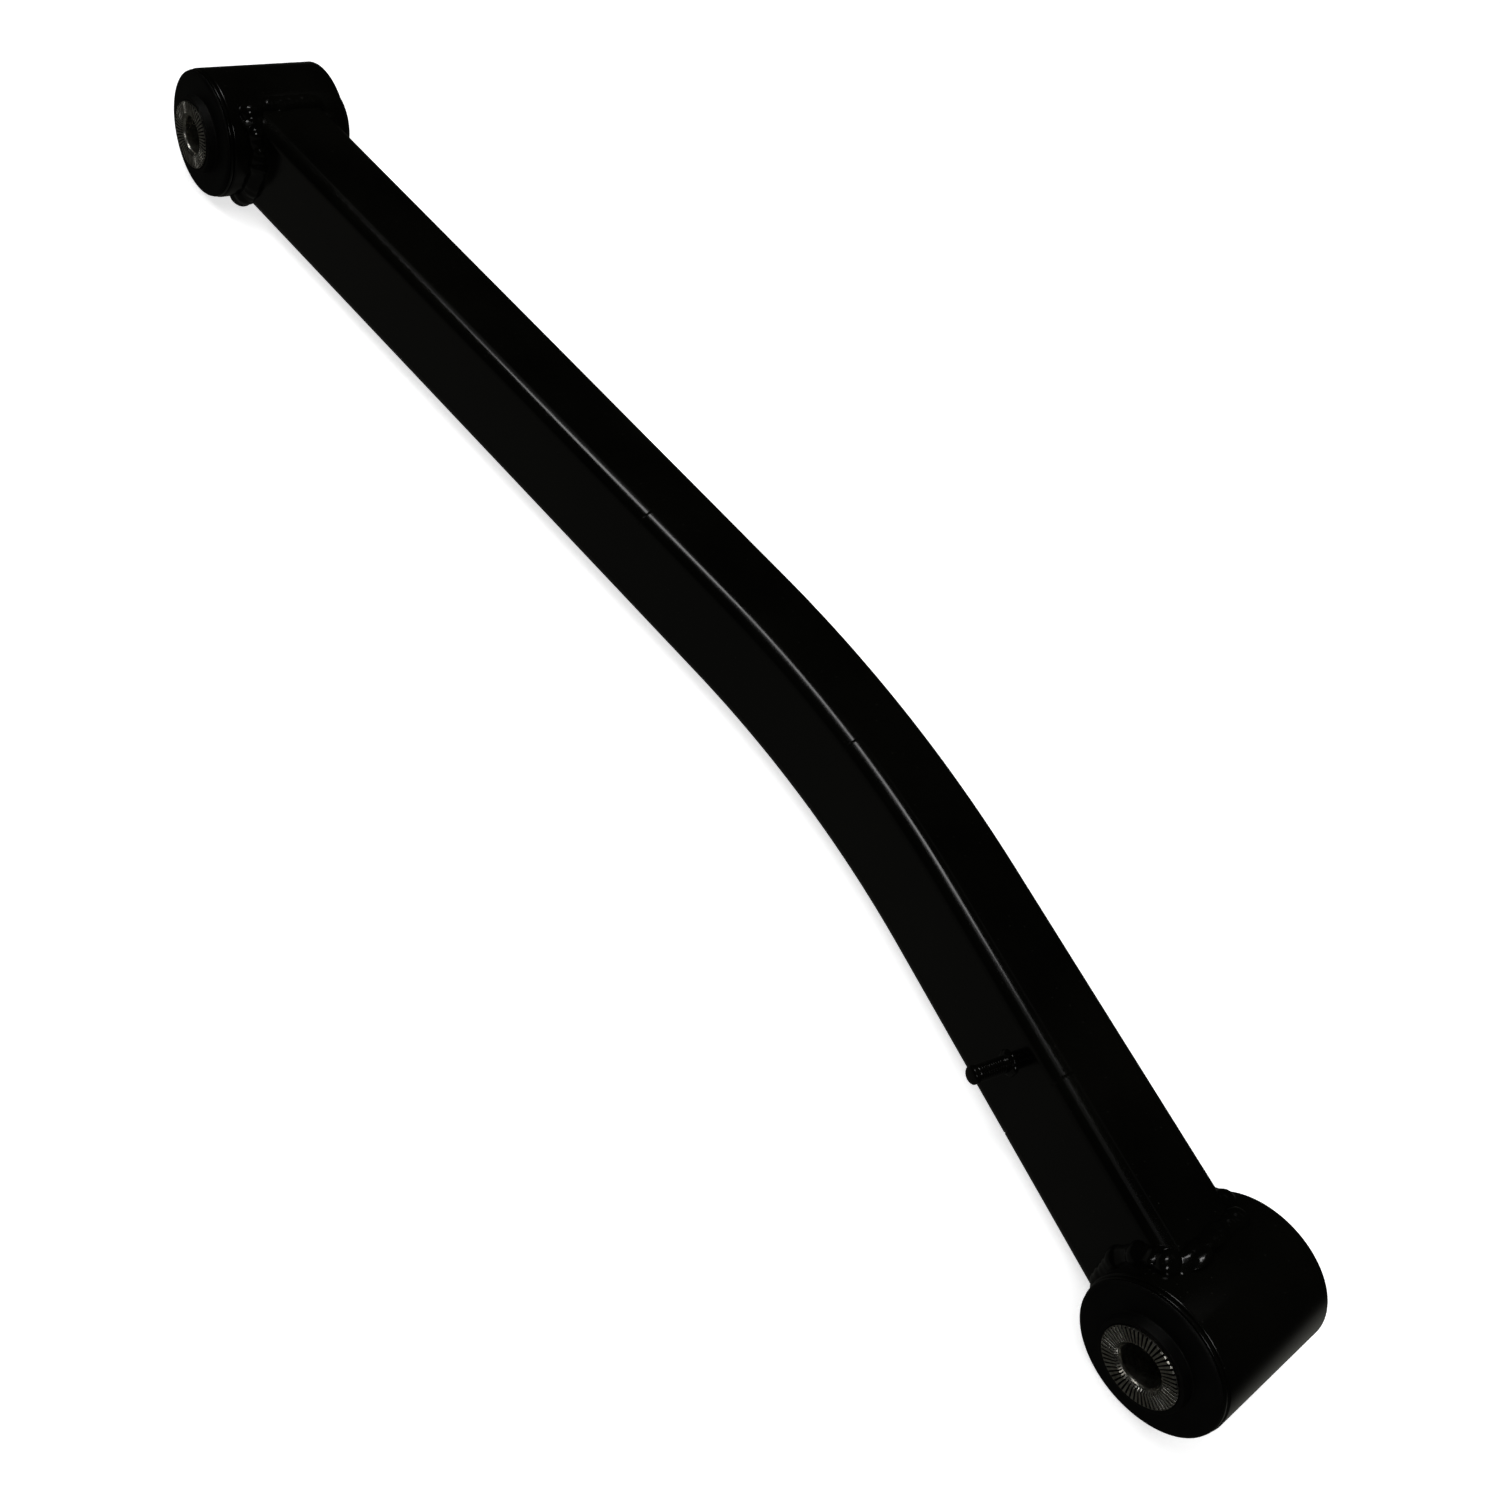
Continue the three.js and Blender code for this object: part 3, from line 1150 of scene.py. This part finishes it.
            select_points(sleeve, on_groove)
            depth = -end * self.tooth_depth * share * MM
            bpy.ops.transform.translate(value=(0.0, depth, 0.0))


@dataclass(frozen=True)
class BeadSkin:
    """How the ripples of a bead melt together and how the cooled metal looks; sizes in mm.

    Attributes:
        voxel: size of the blocks that the ripples are merged in.
        melt: strength of one smoothing pass.
        top_passes: smoothing passes on the top bead, whose lumps stay crisp.
        passes: smoothing passes on the other beads.
        lump_depth: how far the broad lumps swell.
        lumps: how many broad lumps there are to a metre.
        wrinkle_depth: how far the fine wrinkles swell.
        wrinkles: how many fine wrinkles there are to a metre.
        hidden: how far the bead's hidden side reaches into the eye's wall.
    """

    voxel: float = 0.42
    melt: float = 0.6
    top_passes: int = 6
    passes: int = 26
    lump_depth: float = 0.24
    lumps: float = 190.0
    wrinkle_depth: float = 0.05
    wrinkles: float = 620.0
    hidden: float = 1.2


@dataclass(frozen=True)
class Spatter:
    """Small balls of weld metal beside a bead; sizes in mm.

    Attributes:
        count: how many there are.
        reach: least and most distance from the bead's middle.
        radius: least and most radius.
    """

    count: int = 4
    reach: tuple[float, float] = (3.0, 5.5)
    radius: tuple[float, float] = (0.5, 0.8)


@dataclass(frozen=True)
class CornerLumps:
    """Flat lumps where a top bead runs out over the tube's front corner; sizes in mm.

    Attributes:
        count: how many there are.
        trail: how far they run back along the top.
        front: where the first lies, in front of the tube's centre line.
        low: its height above the centre line.
        climb: how much higher the last ones lie.
        climb_run: how far back the climb ends.
        slide: the most that one lies further round the eye.
        slide_fade: how much less the last ones do, as a share.
        facing: the way they face at the near eye.
        scatter: the most that the way they face strays, in thousandths.
        radius: least and most radius.
        narrow: least and most size across, as a share of the radius.
        flat: thickness, as a share of the radius.
        stand: how far their middles stand off the joint.
        sink: how much less they stand off for each mm that they lie round the eye.
    """

    count: int = 0
    trail: float = 19.0
    front: float = 18.0
    low: float = 16.0
    climb: float = 5.5
    climb_run: float = 7.0
    slide: float = 4.0
    slide_fade: float = 0.6
    facing: Place = (0.3, 0.49, 0.82)
    scatter: float = 45.0
    radius: tuple[float, float] = (2.7, 4.1)
    narrow: tuple[float, float] = (0.45, 0.7)
    flat: float = 0.2
    stand: float = 3.8
    sink: float = 0.5


@dataclass
class WeldSet:
    """The four fillet welds that join the tube to one eye; sizes in mm.

    Attributes:
        prefix: "near" or "far".
        centre: the eye's centre, in metres.
        point: the tube's centre line beside that eye, in metres.
        run: the tube's direction there.
        inward: 1 where the tube leaves the eye along its run and -1 where it arrives.
        tube: the tube that the welds follow.
        leg: reach of the beads up the sides.
        crown: reach of the beads across the top and bottom.
        sink: how far the flatter beads' middles lie under the surface.
        pitch: distance from ripple to ripple.
        size_range: least and most size of a ripple, as a share of the bead's.
        wander: how far a ripple strays from the joint.
        thin: thickness of a ripple, as a share of its size across.
        side_inset: how far the side beads' middles lie inside the tube's sides.
        front_stop: how far short of the top and bottom the front bead stops.
        back_stop: how far short of them the back bead stops.
        flat_stop: how far short of the sides the top and bottom beads stop.
        skin: how the metal melts and cools.
        spatter: the small balls beside each bead.
        lumps: the flat lumps at the top front corner.
        seed: part of what each bead's own random numbers start from.
    """

    prefix: str
    centre: Vector
    point: Vector
    run: Vector
    inward: float
    tube: ArmTube
    leg: float = 5.0
    crown: float = 4.8
    sink: float = 1.7
    pitch: float = 3.0
    size_range: tuple[float, float] = (0.86, 1.08)
    wander: float = 0.4
    thin: float = 0.85
    side_inset: float = 0.6
    front_stop: float = 1.6
    back_stop: float = 5.0
    flat_stop: float = 3.0
    skin: BeadSkin = BeadSkin()
    spatter: Spatter = Spatter()
    lumps: CornerLumps = CornerLumps()
    seed: int = 7

    def joint(self, sideways: float, height: float, sink: float = 0.0) -> Vector:
        """Finds where the tube's skin meets the eye.

        Args:
            sideways: distance to the front of the tube's centre line.
            height: height above it.
            sink: how far below the skin.

        Returns:
            The place, in metres.
        """
        reach = math.sqrt(self.tube.eye_radius**2 - height**2)
        side = CentreLine.side(self.run)
        distance = (self.inward * reach - side.x * sideways) / self.run.x
        place = self.point + (self.run * distance + side * sideways) * MM
        place.z = self.centre.z + (height - math.copysign(sink, height)) * MM
        return place

    def path(self, where: str) -> list[Vector]:
        """Lists the ripple middles of one bead.

        Args:
            where: "front", "back", "top" or "bottom".

        Returns:
            The middles in order.
        """
        half_width = self.tube.width / 2
        half_height = self.tube.height / 2
        if where in ("front", "back"):
            side = half_width - self.side_inset
            if where == "back":
                side = -side
            reach = half_height - (self.front_stop if where == "front" else self.back_stop)
            return [self.joint(side, height) for height in self.spread(reach)]
        level = half_height if where == "top" else -half_height
        across = self.spread(half_width - self.flat_stop)
        return [self.joint(sideways, level, self.sink) for sideways in across]

    def spread(self, reach: float) -> list[float]:
        """Even places from -reach to reach, about one ripple apart."""
        count = round(2 * reach / self.pitch)
        return [-reach + 2 * reach * i / count for i in range(count + 1)]

    def bead(self, where: str) -> bpy.types.Object:
        """Models one bead as overlapping ripples, melted together.

        Args:
            where: "front", "back", "top" or "bottom".

        Returns:
            The finished bead.
        """
        chance = random.Random(f"{self.prefix}{where}{self.seed}")
        middles = self.path(where)
        size = self.crown if where in ("top", "bottom") else self.leg
        puddles = []
        for index, place in enumerate(middles):
            before = middles[max(0, index - 1)]
            after = middles[min(len(middles) - 1, index + 1)]
            radius = size * MM * chance.uniform(*self.size_range)
            strayed = place + self.jitter(chance, self.wander)
            puddles.append(self.ripple(strayed, after - before, radius))
        puddles += self.balls(where, chance)
        if where == "top":
            puddles += self.corner_pads(chance)
        put_down()
        for puddle in puddles:
            puddle.select_set(True)
        bead = puddles[0]
        bpy.context.view_layer.objects.active = bead
        bpy.ops.object.join()
        finish_modifier(bead, "REMESH", mode="VOXEL", voxel_size=self.skin.voxel * MM)
        passes = self.skin.top_passes if where == "top" else self.skin.passes
        finish_modifier(bead, "SMOOTH", factor=self.skin.melt, iterations=passes)
        self.roughen(bead)
        self.seat(bead)
        pick_up(bead)
        bpy.ops.object.shade_smooth()
        return named(bead, f"{self.prefix}_bead_{where}")

    def ripple(self, place: Vector, way: Vector, radius: float) -> bpy.types.Object:
        """Makes one ripple: a ball flattened along the way the weld was laid.

        Args:
            place: its middle.
            way: the way the weld was laid there.
            radius: its size across the bead, in metres.

        Returns:
            The ripple.
        """
        put_down()
        bpy.ops.mesh.primitive_ico_sphere_add(subdivisions=3, radius=radius)
        puddle = bpy.context.object
        puddle.scale = (1.0, 1.0, self.thin)
        stand_along(puddle, way, place)
        return puddle

    def corner_pads(self, chance: random.Random) -> list[bpy.types.Object]:
        """Piles flat lumps where the top bead runs out over the tube's front corner.

        Args:
            chance: the bead's random numbers.

        Returns:
            The lumps.
        """
        plan = self.lumps
        lumps = []
        for index in range(plan.count):
            share = index / max(1, plan.count - 1)
            sideways = plan.front - plan.trail * share
            height = plan.low + plan.climb * min(1.0, plan.trail / plan.climb_run * share)
            slide = chance.uniform(0.0, plan.slide) * (1.0 - plan.slide_fade * share)
            along, across, upward = plan.facing
            facing = Vector((self.inward * along, across, upward))
            facing += self.jitter(chance, plan.scatter)
            put_down()
            bpy.ops.mesh.primitive_ico_sphere_add(
                subdivisions=4, radius=chance.uniform(*plan.radius) * MM
            )
            lump = bpy.context.object
            lump.scale = (chance.uniform(*plan.narrow), 1.0, plan.flat)
            place = self.slide_out(self.joint(sideways, height), slide)
            place += facing * (plan.stand - plan.sink * slide) * MM
            stand_along(lump, facing, place)
            lumps.append(lump)
        return lumps

    def slide_out(self, place: Vector, slide: float) -> Vector:
        """Moves a place round the eye's skin, away from the tube.

        Args:
            place: a place on the eye's skin.
            slide: how far to move it, in mm.

        Returns:
            The new place.
        """
        away = place - self.centre
        angle = math.atan2(away.z, self.inward * away.x) + slide / self.tube.eye_radius
        radius = self.tube.eye_radius * MM
        moved = Vector((self.inward * math.cos(angle), 0.0, math.sin(angle))) * radius
        return self.centre + moved + Vector((0.0, away.y, 0.0))

    @staticmethod
    def jitter(chance: random.Random, size: float) -> Vector:
        """A small random step, in metres, for a size in mm."""
        return Vector([chance.uniform(-size, size) for _ in range(3)]) * MM

    def balls(self, where: str, chance: random.Random) -> list[bpy.types.Object]:
        """Scatters a few small balls of weld metal on the tube beside a bead.

        Args:
            where: which bead.
            chance: the bead's random numbers.

        Returns:
            The balls.
        """
        balls = []
        middles = self.path(where)
        for _ in range(self.spatter.count):
            place = chance.choice(middles[1:-1])
            place = place + self.run * self.inward * chance.uniform(*self.spatter.reach) * MM
            if where in ("top", "bottom"):
                level = math.copysign(self.tube.height / 2, place.z - self.centre.z)
                place.z = self.centre.z + level * MM
            put_down()
            bpy.ops.mesh.primitive_ico_sphere_add(
                subdivisions=2, radius=chance.uniform(*self.spatter.radius) * MM, location=place
            )
            ball = bpy.context.object
            settle(ball)
            balls.append(ball)
        return balls

    def roughen(self, bead: bpy.types.Object) -> None:
        """Pushes the bead's skin in and out as cooled weld metal is.

        Args:
            bead: the bead.
        """
        skin = self.skin
        elsewhere = Vector((5.0, 3.0, 9.0))
        outward = [vertex.normal.copy() for vertex in bead.data.vertices]
        for vertex, away in zip(bead.data.vertices, outward):
            lump = noise.noise(vertex.co * skin.lumps)
            wrinkle = noise.noise(vertex.co * skin.wrinkles + elsewhere)
            vertex.co += away * (lump * skin.lump_depth + wrinkle * skin.wrinkle_depth) * MM

    def seat(self, bead: bpy.types.Object) -> None:
        """Keeps the bead's hidden side inside the thickness of the eye's wall.

        Args:
            bead: the bead.
        """
        least = (self.tube.eye_radius - self.skin.hidden) * MM
        for vertex in bead.data.vertices:
            away = Vector((vertex.co.x - self.centre.x, 0.0, vertex.co.z - self.centre.z))
            if away.length < least:
                vertex.co += away.normalized() * (least - away.length)


@dataclass
class SideStud:
    """The threaded stud and the flash of weld round its foot; sizes in mm.

    Attributes:
        foot: where its axis meets the tube, in metres.
        outward: the way it points.
        radius: outside of the thread.
        root: bottom of the thread.
        pitch: the thread's pitch.
        plain: length of the plain shank.
        turns: how many turns of thread there are.
        tip: length of the rounded end.
        nose: length at the end where the coat has filled the thread.
        nose_radius: outside of the coat there.
        sides: how many flats the stud has round it.
        rings_per_turn: rings to each turn of the thread.
        spare_rings: rings past the last turn.
        run_in: how far the thread cuts into the plain shank.
        run_out: length over which the thread fades in and out.
        shoulder: how much thinner the plain shank is than the thread.
        flank_slope: how steep the thread's flanks are.
        tip_shares: how each ring of the rounded end shrinks from the one before.
        flash_radius: radius of the flash at its foot.
        flash_height: the flash's height.
        flash_flats: how many flats the flash has.
        flash_shares: how each ring of the flash shrinks from the one before.
        flash_lumps: how many lumps there are to a metre.
        flash_lift: how high a lump stands.
        flash_swell: how far a lump swells outwards, as a share of the radius.
    """

    foot: Vector
    outward: Vector
    radius: float = 3.0
    root: float = 2.3
    pitch: float = 1.0
    plain: float = 3.0
    turns: int = 12
    tip: float = 0.9
    nose: float = 1.6
    nose_radius: float = 3.2
    sides: int = 40
    rings_per_turn: int = 8
    spare_rings: int = 6
    run_in: float = 0.5
    run_out: float = 0.8
    shoulder: float = 0.1
    flank_slope: float = 1.25
    tip_shares: tuple[float, ...] = (0.9, 0.8, 0.55)
    flash_radius: float = 4.5
    flash_height: float = 1.35
    flash_flats: int = 72
    flash_shares: tuple[float, ...] = (0.985, 0.95, 0.89, 0.84)
    flash_lumps: float = 600.0
    flash_lift: float = 0.35
    flash_swell: float = 0.09

    @classmethod
    def on_tube(cls, tube: ArmTube, along: float = 91.6, lift: float = 2.8) -> "SideStud":
        """Places the stud on the tube's front face.

        Args:
            tube: the tube it stands on.
            along: its distance from the near eye along the centre line, in mm.
            lift: its height above the centre line, in mm.

        Returns:
            The placed stud.
        """
        line = tube.line
        outward = line.side(line.near_run)
        foot = line.near_point + (line.near_run * along + outward * tube.width / 2) * MM
        foot.z = line.near_eye.z + lift * MM
        return cls(foot, outward)

    def thread(self) -> bpy.types.Object:
        """Models the stud: a shank drawn up ring by ring, then cut with a true helix.

        Returns:
            The finished stud.
        """
        put_down()
        bpy.ops.mesh.primitive_circle_add(
            vertices=self.sides, radius=(self.radius - self.shoulder) * MM, fill_type="NGON"
        )
        stud = bpy.context.object
        open_mesh()
        extrude_by((0.0, 0.0, (self.plain - self.run_in) * MM))
        step = self.pitch / self.rings_per_turn * MM
        for _ in range(self.turns * self.rings_per_turn + self.spare_rings):
            extrude_by((0.0, 0.0, step))
        self.draw_in(self.tip, self.tip_shares)
        close_mesh()
        self.cut_helix(stud)
        stand_along(stud, self.outward, self.foot)
        smooth_faces(stud, 50.0)
        return named(stud, "side_stud_thread")

    @staticmethod
    def draw_in(length: float, shares: Sequence[float]) -> None:
        """Draws the selected end face on in equal steps, smaller at each.

        Args:
            length: how far it goes in all, in mm.
            shares: its size after each step, as a share of the one before.
        """
        for share in shares:
            extrude_by((0.0, 0.0, length / len(shares) * MM))
            bpy.ops.transform.resize(value=(share, share, 1.0))

    def cut_helix(self, stud: bpy.types.Object) -> None:
        """Draws the thread's rings in and out along a helix that runs in and out gently.

        Args:
            stud: the stud, standing along Z at the origin.
        """
        start = self.plain - self.run_in
        end = start + self.turns * self.pitch - self.nose
        first_ring = 0.05
        swell = self.nose_radius / self.radius
        for vertex in stud.data.vertices:
            height = vertex.co.z / MM
            if height >= end + self.pitch * 0.8:
                vertex.co.x *= swell
                vertex.co.y *= swell
                continue
            if height <= start + first_ring:
                continue
            phase = (height / self.pitch - math.atan2(vertex.co.y, vertex.co.x) / math.tau) % 1.0
            flank = min(1.0, self.flank_slope * (1.0 - abs(2.0 * phase - 1.0)))
            into, left = height - start, end + self.pitch - height
            ease = min(1.0, into / self.run_out, left / self.run_out)
            outside = self.radius - self.shoulder * (1.0 - ease)
            target = outside - (self.radius - self.root) * (1.0 - flank) * ease
            flat = math.hypot(vertex.co.x, vertex.co.y)
            vertex.co.x *= target * MM / flat
            vertex.co.y *= target * MM / flat

    def flash(self) -> bpy.types.Object:
        """Models the lumpy collar that the stud weld leaves.

        Returns:
            The finished collar.
        """
        put_down()
        bpy.ops.mesh.primitive_circle_add(
            vertices=self.flash_flats, radius=self.flash_radius * MM, fill_type="NGON"
        )
        collar = bpy.context.object
        open_mesh()
        self.draw_in(self.flash_height, self.flash_shares)
        close_mesh()
        for vertex in collar.data.vertices:
            height = vertex.co.z / (self.flash_height * MM)
            across, upward = vertex.co.x * self.flash_lumps, vertex.co.y * self.flash_lumps
            lump = noise.noise(Vector((across, upward, 4.0)))
            vertex.co.z += lump * self.flash_lift * MM * height
            vertex.co.x *= 1.0 + self.flash_swell * lump
            vertex.co.y *= 1.0 + self.flash_swell * lump
        stand_along(collar, self.outward, self.foot)
        smooth_faces(collar, 60.0)
        return named(collar, "stud_weld_flash")


# ---------------------------------------------------------------------------------------------
# Studio
# ---------------------------------------------------------------------------------------------
@dataclass(frozen=True)
class SoftBox:
    """One soft lamp; places and sizes in metres.

    Attributes:
        name: the lamp's name.
        place: where it hangs.
        size: its two sides.
        power: its strength in watts.
        at_near_eye: it faces the near eye, and not the middle of the floor.
        in_gloss: whether the arm's gloss shows it.
    """

    name: str
    place: Place
    size: tuple[float, float]
    power: float
    at_near_eye: bool = False
    in_gloss: bool = True


@dataclass
class Studio:
    """Pale floor, a dim room and soft lamps.

    Attributes:
        near_eye: the near eye's centre, in metres; the camera is placed from it.
        lens: the camera's focal length, in mm.
        stand: the camera's place from the near eye, in mm.
        right: the way to the right of the view.
        up: the way to the top of the view.
        back: the way from the view back to the camera.
        floor_size: the floor's side, in metres.
        floor_drop: how far the floor lies below the part, in metres.
        wall_height: height of the pale walls round it, in metres.
        wall_curve: how far the floor curves up into them, in metres.
        floor_glow: the floor's own light.
        low_stops: grey of the room from straight up (0) to straight down (1).
        sweep_way: the middle of the pale sweep behind the near eye.
        sweep_stops: its grey, with 1 at its middle.
        warmth: what the room's grey is multiplied by in red, green and blue.
        boxes: the soft lamps.
    """

    near_eye: Vector
    lens: float = 38.626
    stand: Place = (34.405, 342.549, 412.015)
    right: Place = (-0.582861, -0.742594, 0.32989)
    up: Place = (0.73368, -0.306448, 0.606468)
    back: Place = (-0.349266, 0.59552, 0.723442)
    floor_size: float = 16.0
    floor_drop: float = 0.0002
    wall_height: float = 9.0
    wall_curve: float = 3.0
    floor_glow: float = 0.72
    low_stops: tuple[tuple[float, float], ...] = (
        (0.0, 0.004), (0.45, 0.003), (0.56, 0.005), (0.68, 0.042), (1.0, 0.042)
    )
    sweep_way: Place = (-0.46, -0.64, -0.62)
    sweep_stops: tuple[tuple[float, float], ...] = (
        (0.0, 0.0), (0.955, 0.0), (0.985, 0.06), (1.0, 0.09)
    )
    warmth: Colour = (1.0, 1.0, 0.9)
    boxes: tuple[SoftBox, ...] = (
        SoftBox("corner_box", (0.74, 0.58, 1.6), (0.32, 0.66), 3.3),
        SoftBox("corner_box_wide", (0.78, 0.58, 1.64), (0.8, 0.72), 0.32),
        SoftBox("corner_box_dim", (0.7, 0.58, 1.68), (2.0, 0.72), 0.45),
        SoftBox("back_strip", (0.05, -0.86, 1.6), (0.9, 0.26), 0.035),
        SoftBox("front_box", (-0.86, 1.18, 0.94), (0.34, 0.34), 1.7, at_near_eye=True),
        SoftBox("floor_wash", (0.0, 0.3, 2.6), (3.0, 3.0), 46.0, in_gloss=False),
    )

    def camera(self) -> None:
        """Sets up the camera."""
        data = bpy.data.cameras.new("camera")
        data.lens = self.lens
        data.sensor_width = 36.0
        data.clip_start = 0.01
        camera = bpy.data.objects.new("camera", data)
        bpy.context.scene.collection.objects.link(camera)
        turn = Matrix((self.right, self.up, self.back)).transposed().to_4x4()
        place = self.near_eye + Vector(self.stand) * MM
        camera.matrix_world = Matrix.Translation(place) @ turn
        bpy.context.scene.camera = camera

    def floor(self) -> None:
        """Lays the pale floor, which curves up all round into pale walls.

        The arm's gloss sees the dim room instead of it.
        """
        put_down()
        bpy.ops.mesh.primitive_plane_add(
            size=self.floor_size, location=(0.0, 0.0, -self.floor_drop)
        )
        floor = named(bpy.context.object, "floor")
        settle(floor)
        bpy.ops.object.mode_set(mode="EDIT")
        bpy.ops.mesh.select_mode(type="EDGE")
        select_whole()
        bpy.ops.mesh.extrude_edges_move(
            TRANSFORM_OT_translate={"value": (0.0, 0.0, self.wall_height)}
        )
        select_whole()
        bpy.ops.mesh.normals_make_consistent(inside=True)
        bpy.ops.mesh.select_mode(type="VERT")
        close_mesh()
        finish_modifier(
            floor, "BEVEL", width=self.wall_curve, segments=12, limit_method="ANGLE"
        )
        smooth_faces(floor)
        material = bpy.data.materials.new("pale_floor")
        material.use_nodes = True
        surface = material.node_tree.nodes["Principled BSDF"]
        surface.inputs["Base Color"].default_value = (0.9, 0.9, 0.9, 1.0)
        surface.inputs["Roughness"].default_value = 1.0
        surface.inputs["Specular IOR Level"].default_value = 0.0
        surface.inputs["Emission Color"].default_value = (1.0, 1.0, 1.0, 1.0)
        surface.inputs["Emission Strength"].default_value = self.floor_glow
        dress(floor, material)
        floor.visible_glossy = False
        floor.visible_diffuse = False

    def room(self) -> None:
        """Makes the dim room: grey low down, black higher up, pale behind the near eye."""
        world = bpy.data.worlds.new("room")
        bpy.context.scene.world = world
        world.use_nodes = True
        tree = world.node_tree
        background = tree.nodes["Background"]
        direction = tree.nodes.new("ShaderNodeTexCoord").outputs["Generated"]
        low = self.glow(tree, direction, -UP, self.low_stops)
        sweep = self.glow(tree, direction, Vector(self.sweep_way), self.sweep_stops)
        both = tree.nodes.new("ShaderNodeMix")
        both.data_type = "RGBA"
        both.blend_type = "ADD"
        both.inputs["Factor"].default_value = 1.0
        tree.links.new(low, both.inputs["A"])
        tree.links.new(sweep, both.inputs["B"])
        tree.links.new(both.outputs["Result"], background.inputs["Color"])

    def glow(
        self,
        tree: bpy.types.NodeTree,
        direction: bpy.types.NodeSocket,
        centre: Vector,
        stops: Stops,
    ) -> bpy.types.NodeSocket:
        """Lights the room round one direction.

        Args:
            tree: the room's nodes.
            direction: the direction being looked in.
            centre: the middle of the light.
            stops: pairs of closeness (0 opposite, 1 at the middle) and grey level.

        Returns:
            The colour.
        """
        closeness = tree.nodes.new("ShaderNodeVectorMath")
        closeness.operation = "DOT_PRODUCT"
        closeness.inputs[1].default_value = centre.normalized()
        tree.links.new(direction, closeness.inputs[0])
        reach = tree.nodes.new("ShaderNodeMapRange")
        reach.inputs["From Min"].default_value = -1.0
        tree.links.new(closeness.outputs["Value"], reach.inputs["Value"])
        ramp = tree.nodes.new("ShaderNodeValToRGB")
        tree.links.new(reach.outputs["Result"], ramp.inputs["Fac"])
        set_stops(ramp, stops, self.warmth)
        return ramp.outputs["Color"]

    def hang(self, box: SoftBox) -> None:
        """Hangs one soft box.

        Args:
            box: its place, size and strength.
        """
        data = bpy.data.lights.new(box.name, "AREA")
        data.shape = "RECTANGLE"
        data.size, data.size_y = box.size
        data.energy = box.power
        lamp = bpy.data.objects.new(box.name, data)
        bpy.context.scene.collection.objects.link(lamp)
        target = self.near_eye if box.at_near_eye else Vector()
        way = target - Vector(box.place)
        lamp.rotation_mode = "QUATERNION"
        lamp.rotation_quaternion = way.to_track_quat("-Z", "Y")
        lamp.location = box.place
        lamp.visible_glossy = box.in_gloss

    def set_up(self) -> None:
        """Makes the whole studio."""
        self.camera()
        self.floor()
        self.room()
        for box in self.boxes:
            self.hang(box)
        bpy.context.scene.view_settings.view_transform = "Standard"


# ---------------------------------------------------------------------------------------------
# Putting it together
# ---------------------------------------------------------------------------------------------
def eye_centres() -> tuple[Vector, Vector]:
    """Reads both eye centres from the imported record.

    Returns:
        The near and the far centre, in metres.
    """
    joints = {joint["name"]: joint for joint in frame["record"]["behaviour"]["joints"]}
    near, far = joints["near_bush_twist"], joints["far_bush_twist"]
    return Vector(near["pos_m"]), Vector(far["pos_m"])


def make_eye(
    eye: BushedEye,
    paint: bpy.types.Material,
    rubber: bpy.types.Material,
    steel: bpy.types.Material,
) -> None:
    """Builds and dresses one eye.

    Args:
        eye: its sizes and place.
        paint: finish of the housing and the can.
        rubber: finish of the rubber.
        steel: finish of the sleeve.
    """
    prefix = eye.prefix
    hand_over(eye.housing(), ARM_BODY, "paint", paint, f"{prefix}_eye_housing")
    hand_over(eye.can(), ARM_BODY, "paint", paint, f"{prefix}_bush_shell")
    hand_over(eye.rubber(), ARM_BODY, "rubber", rubber, f"{prefix}_bush_rubber")
    hand_over(eye.sleeve(), f"{prefix}_sleeve", "steel", steel, f"{prefix}_inner_sleeve")


def main() -> None:
    """Builds the arm piece by piece, then the studio round it."""
    near, far = eye_centres()
    line = CentreLine(near, far)
    tube_paint = BlackPaint(PaintCoat.ROLLED_TUBE).make()
    eye_paint = BlackPaint(PaintCoat.TURNED_EYE).make()
    weld_paint = BlackPaint(PaintCoat.WELD_METAL, gloss_low=0.05, gloss_high=0.12).make()
    rubber = MouldedRubber().make()
    steel = BareSteel().make()

    tube = ArmTube(line)
    hand_over(tube.build(), ARM_BODY, "paint", tube_paint, "arm_tube")
    for prefix, centre in (("near", near), ("far", far)):
        make_eye(BushedEye(prefix, centre), eye_paint, rubber, steel)

    near_lumps, far_lumps = CornerLumps(count=14), CornerLumps(count=5, trail=3.5)
    welds = (
        WeldSet("near", near, line.near_point, line.near_run, 1.0, tube, lumps=near_lumps),
        WeldSet("far", far, line.far_point, line.far_run, -1.0, tube, lumps=far_lumps),
    )
    for weld in welds:
        for where in ("front", "back", "top", "bottom"):
            node = f"{weld.prefix}_weld_{where}"
            hand_over(weld.bead(where), ARM_BODY, "weld", weld_paint, node)

    stud = SideStud.on_tube(tube)
    hand_over(stud.thread(), ARM_BODY, "paint", eye_paint, "side_stud")
    hand_over(stud.flash(), ARM_BODY, "weld", weld_paint, "stud_weld")

    Studio(near).set_up()


if __name__ == "__main__":
    main()
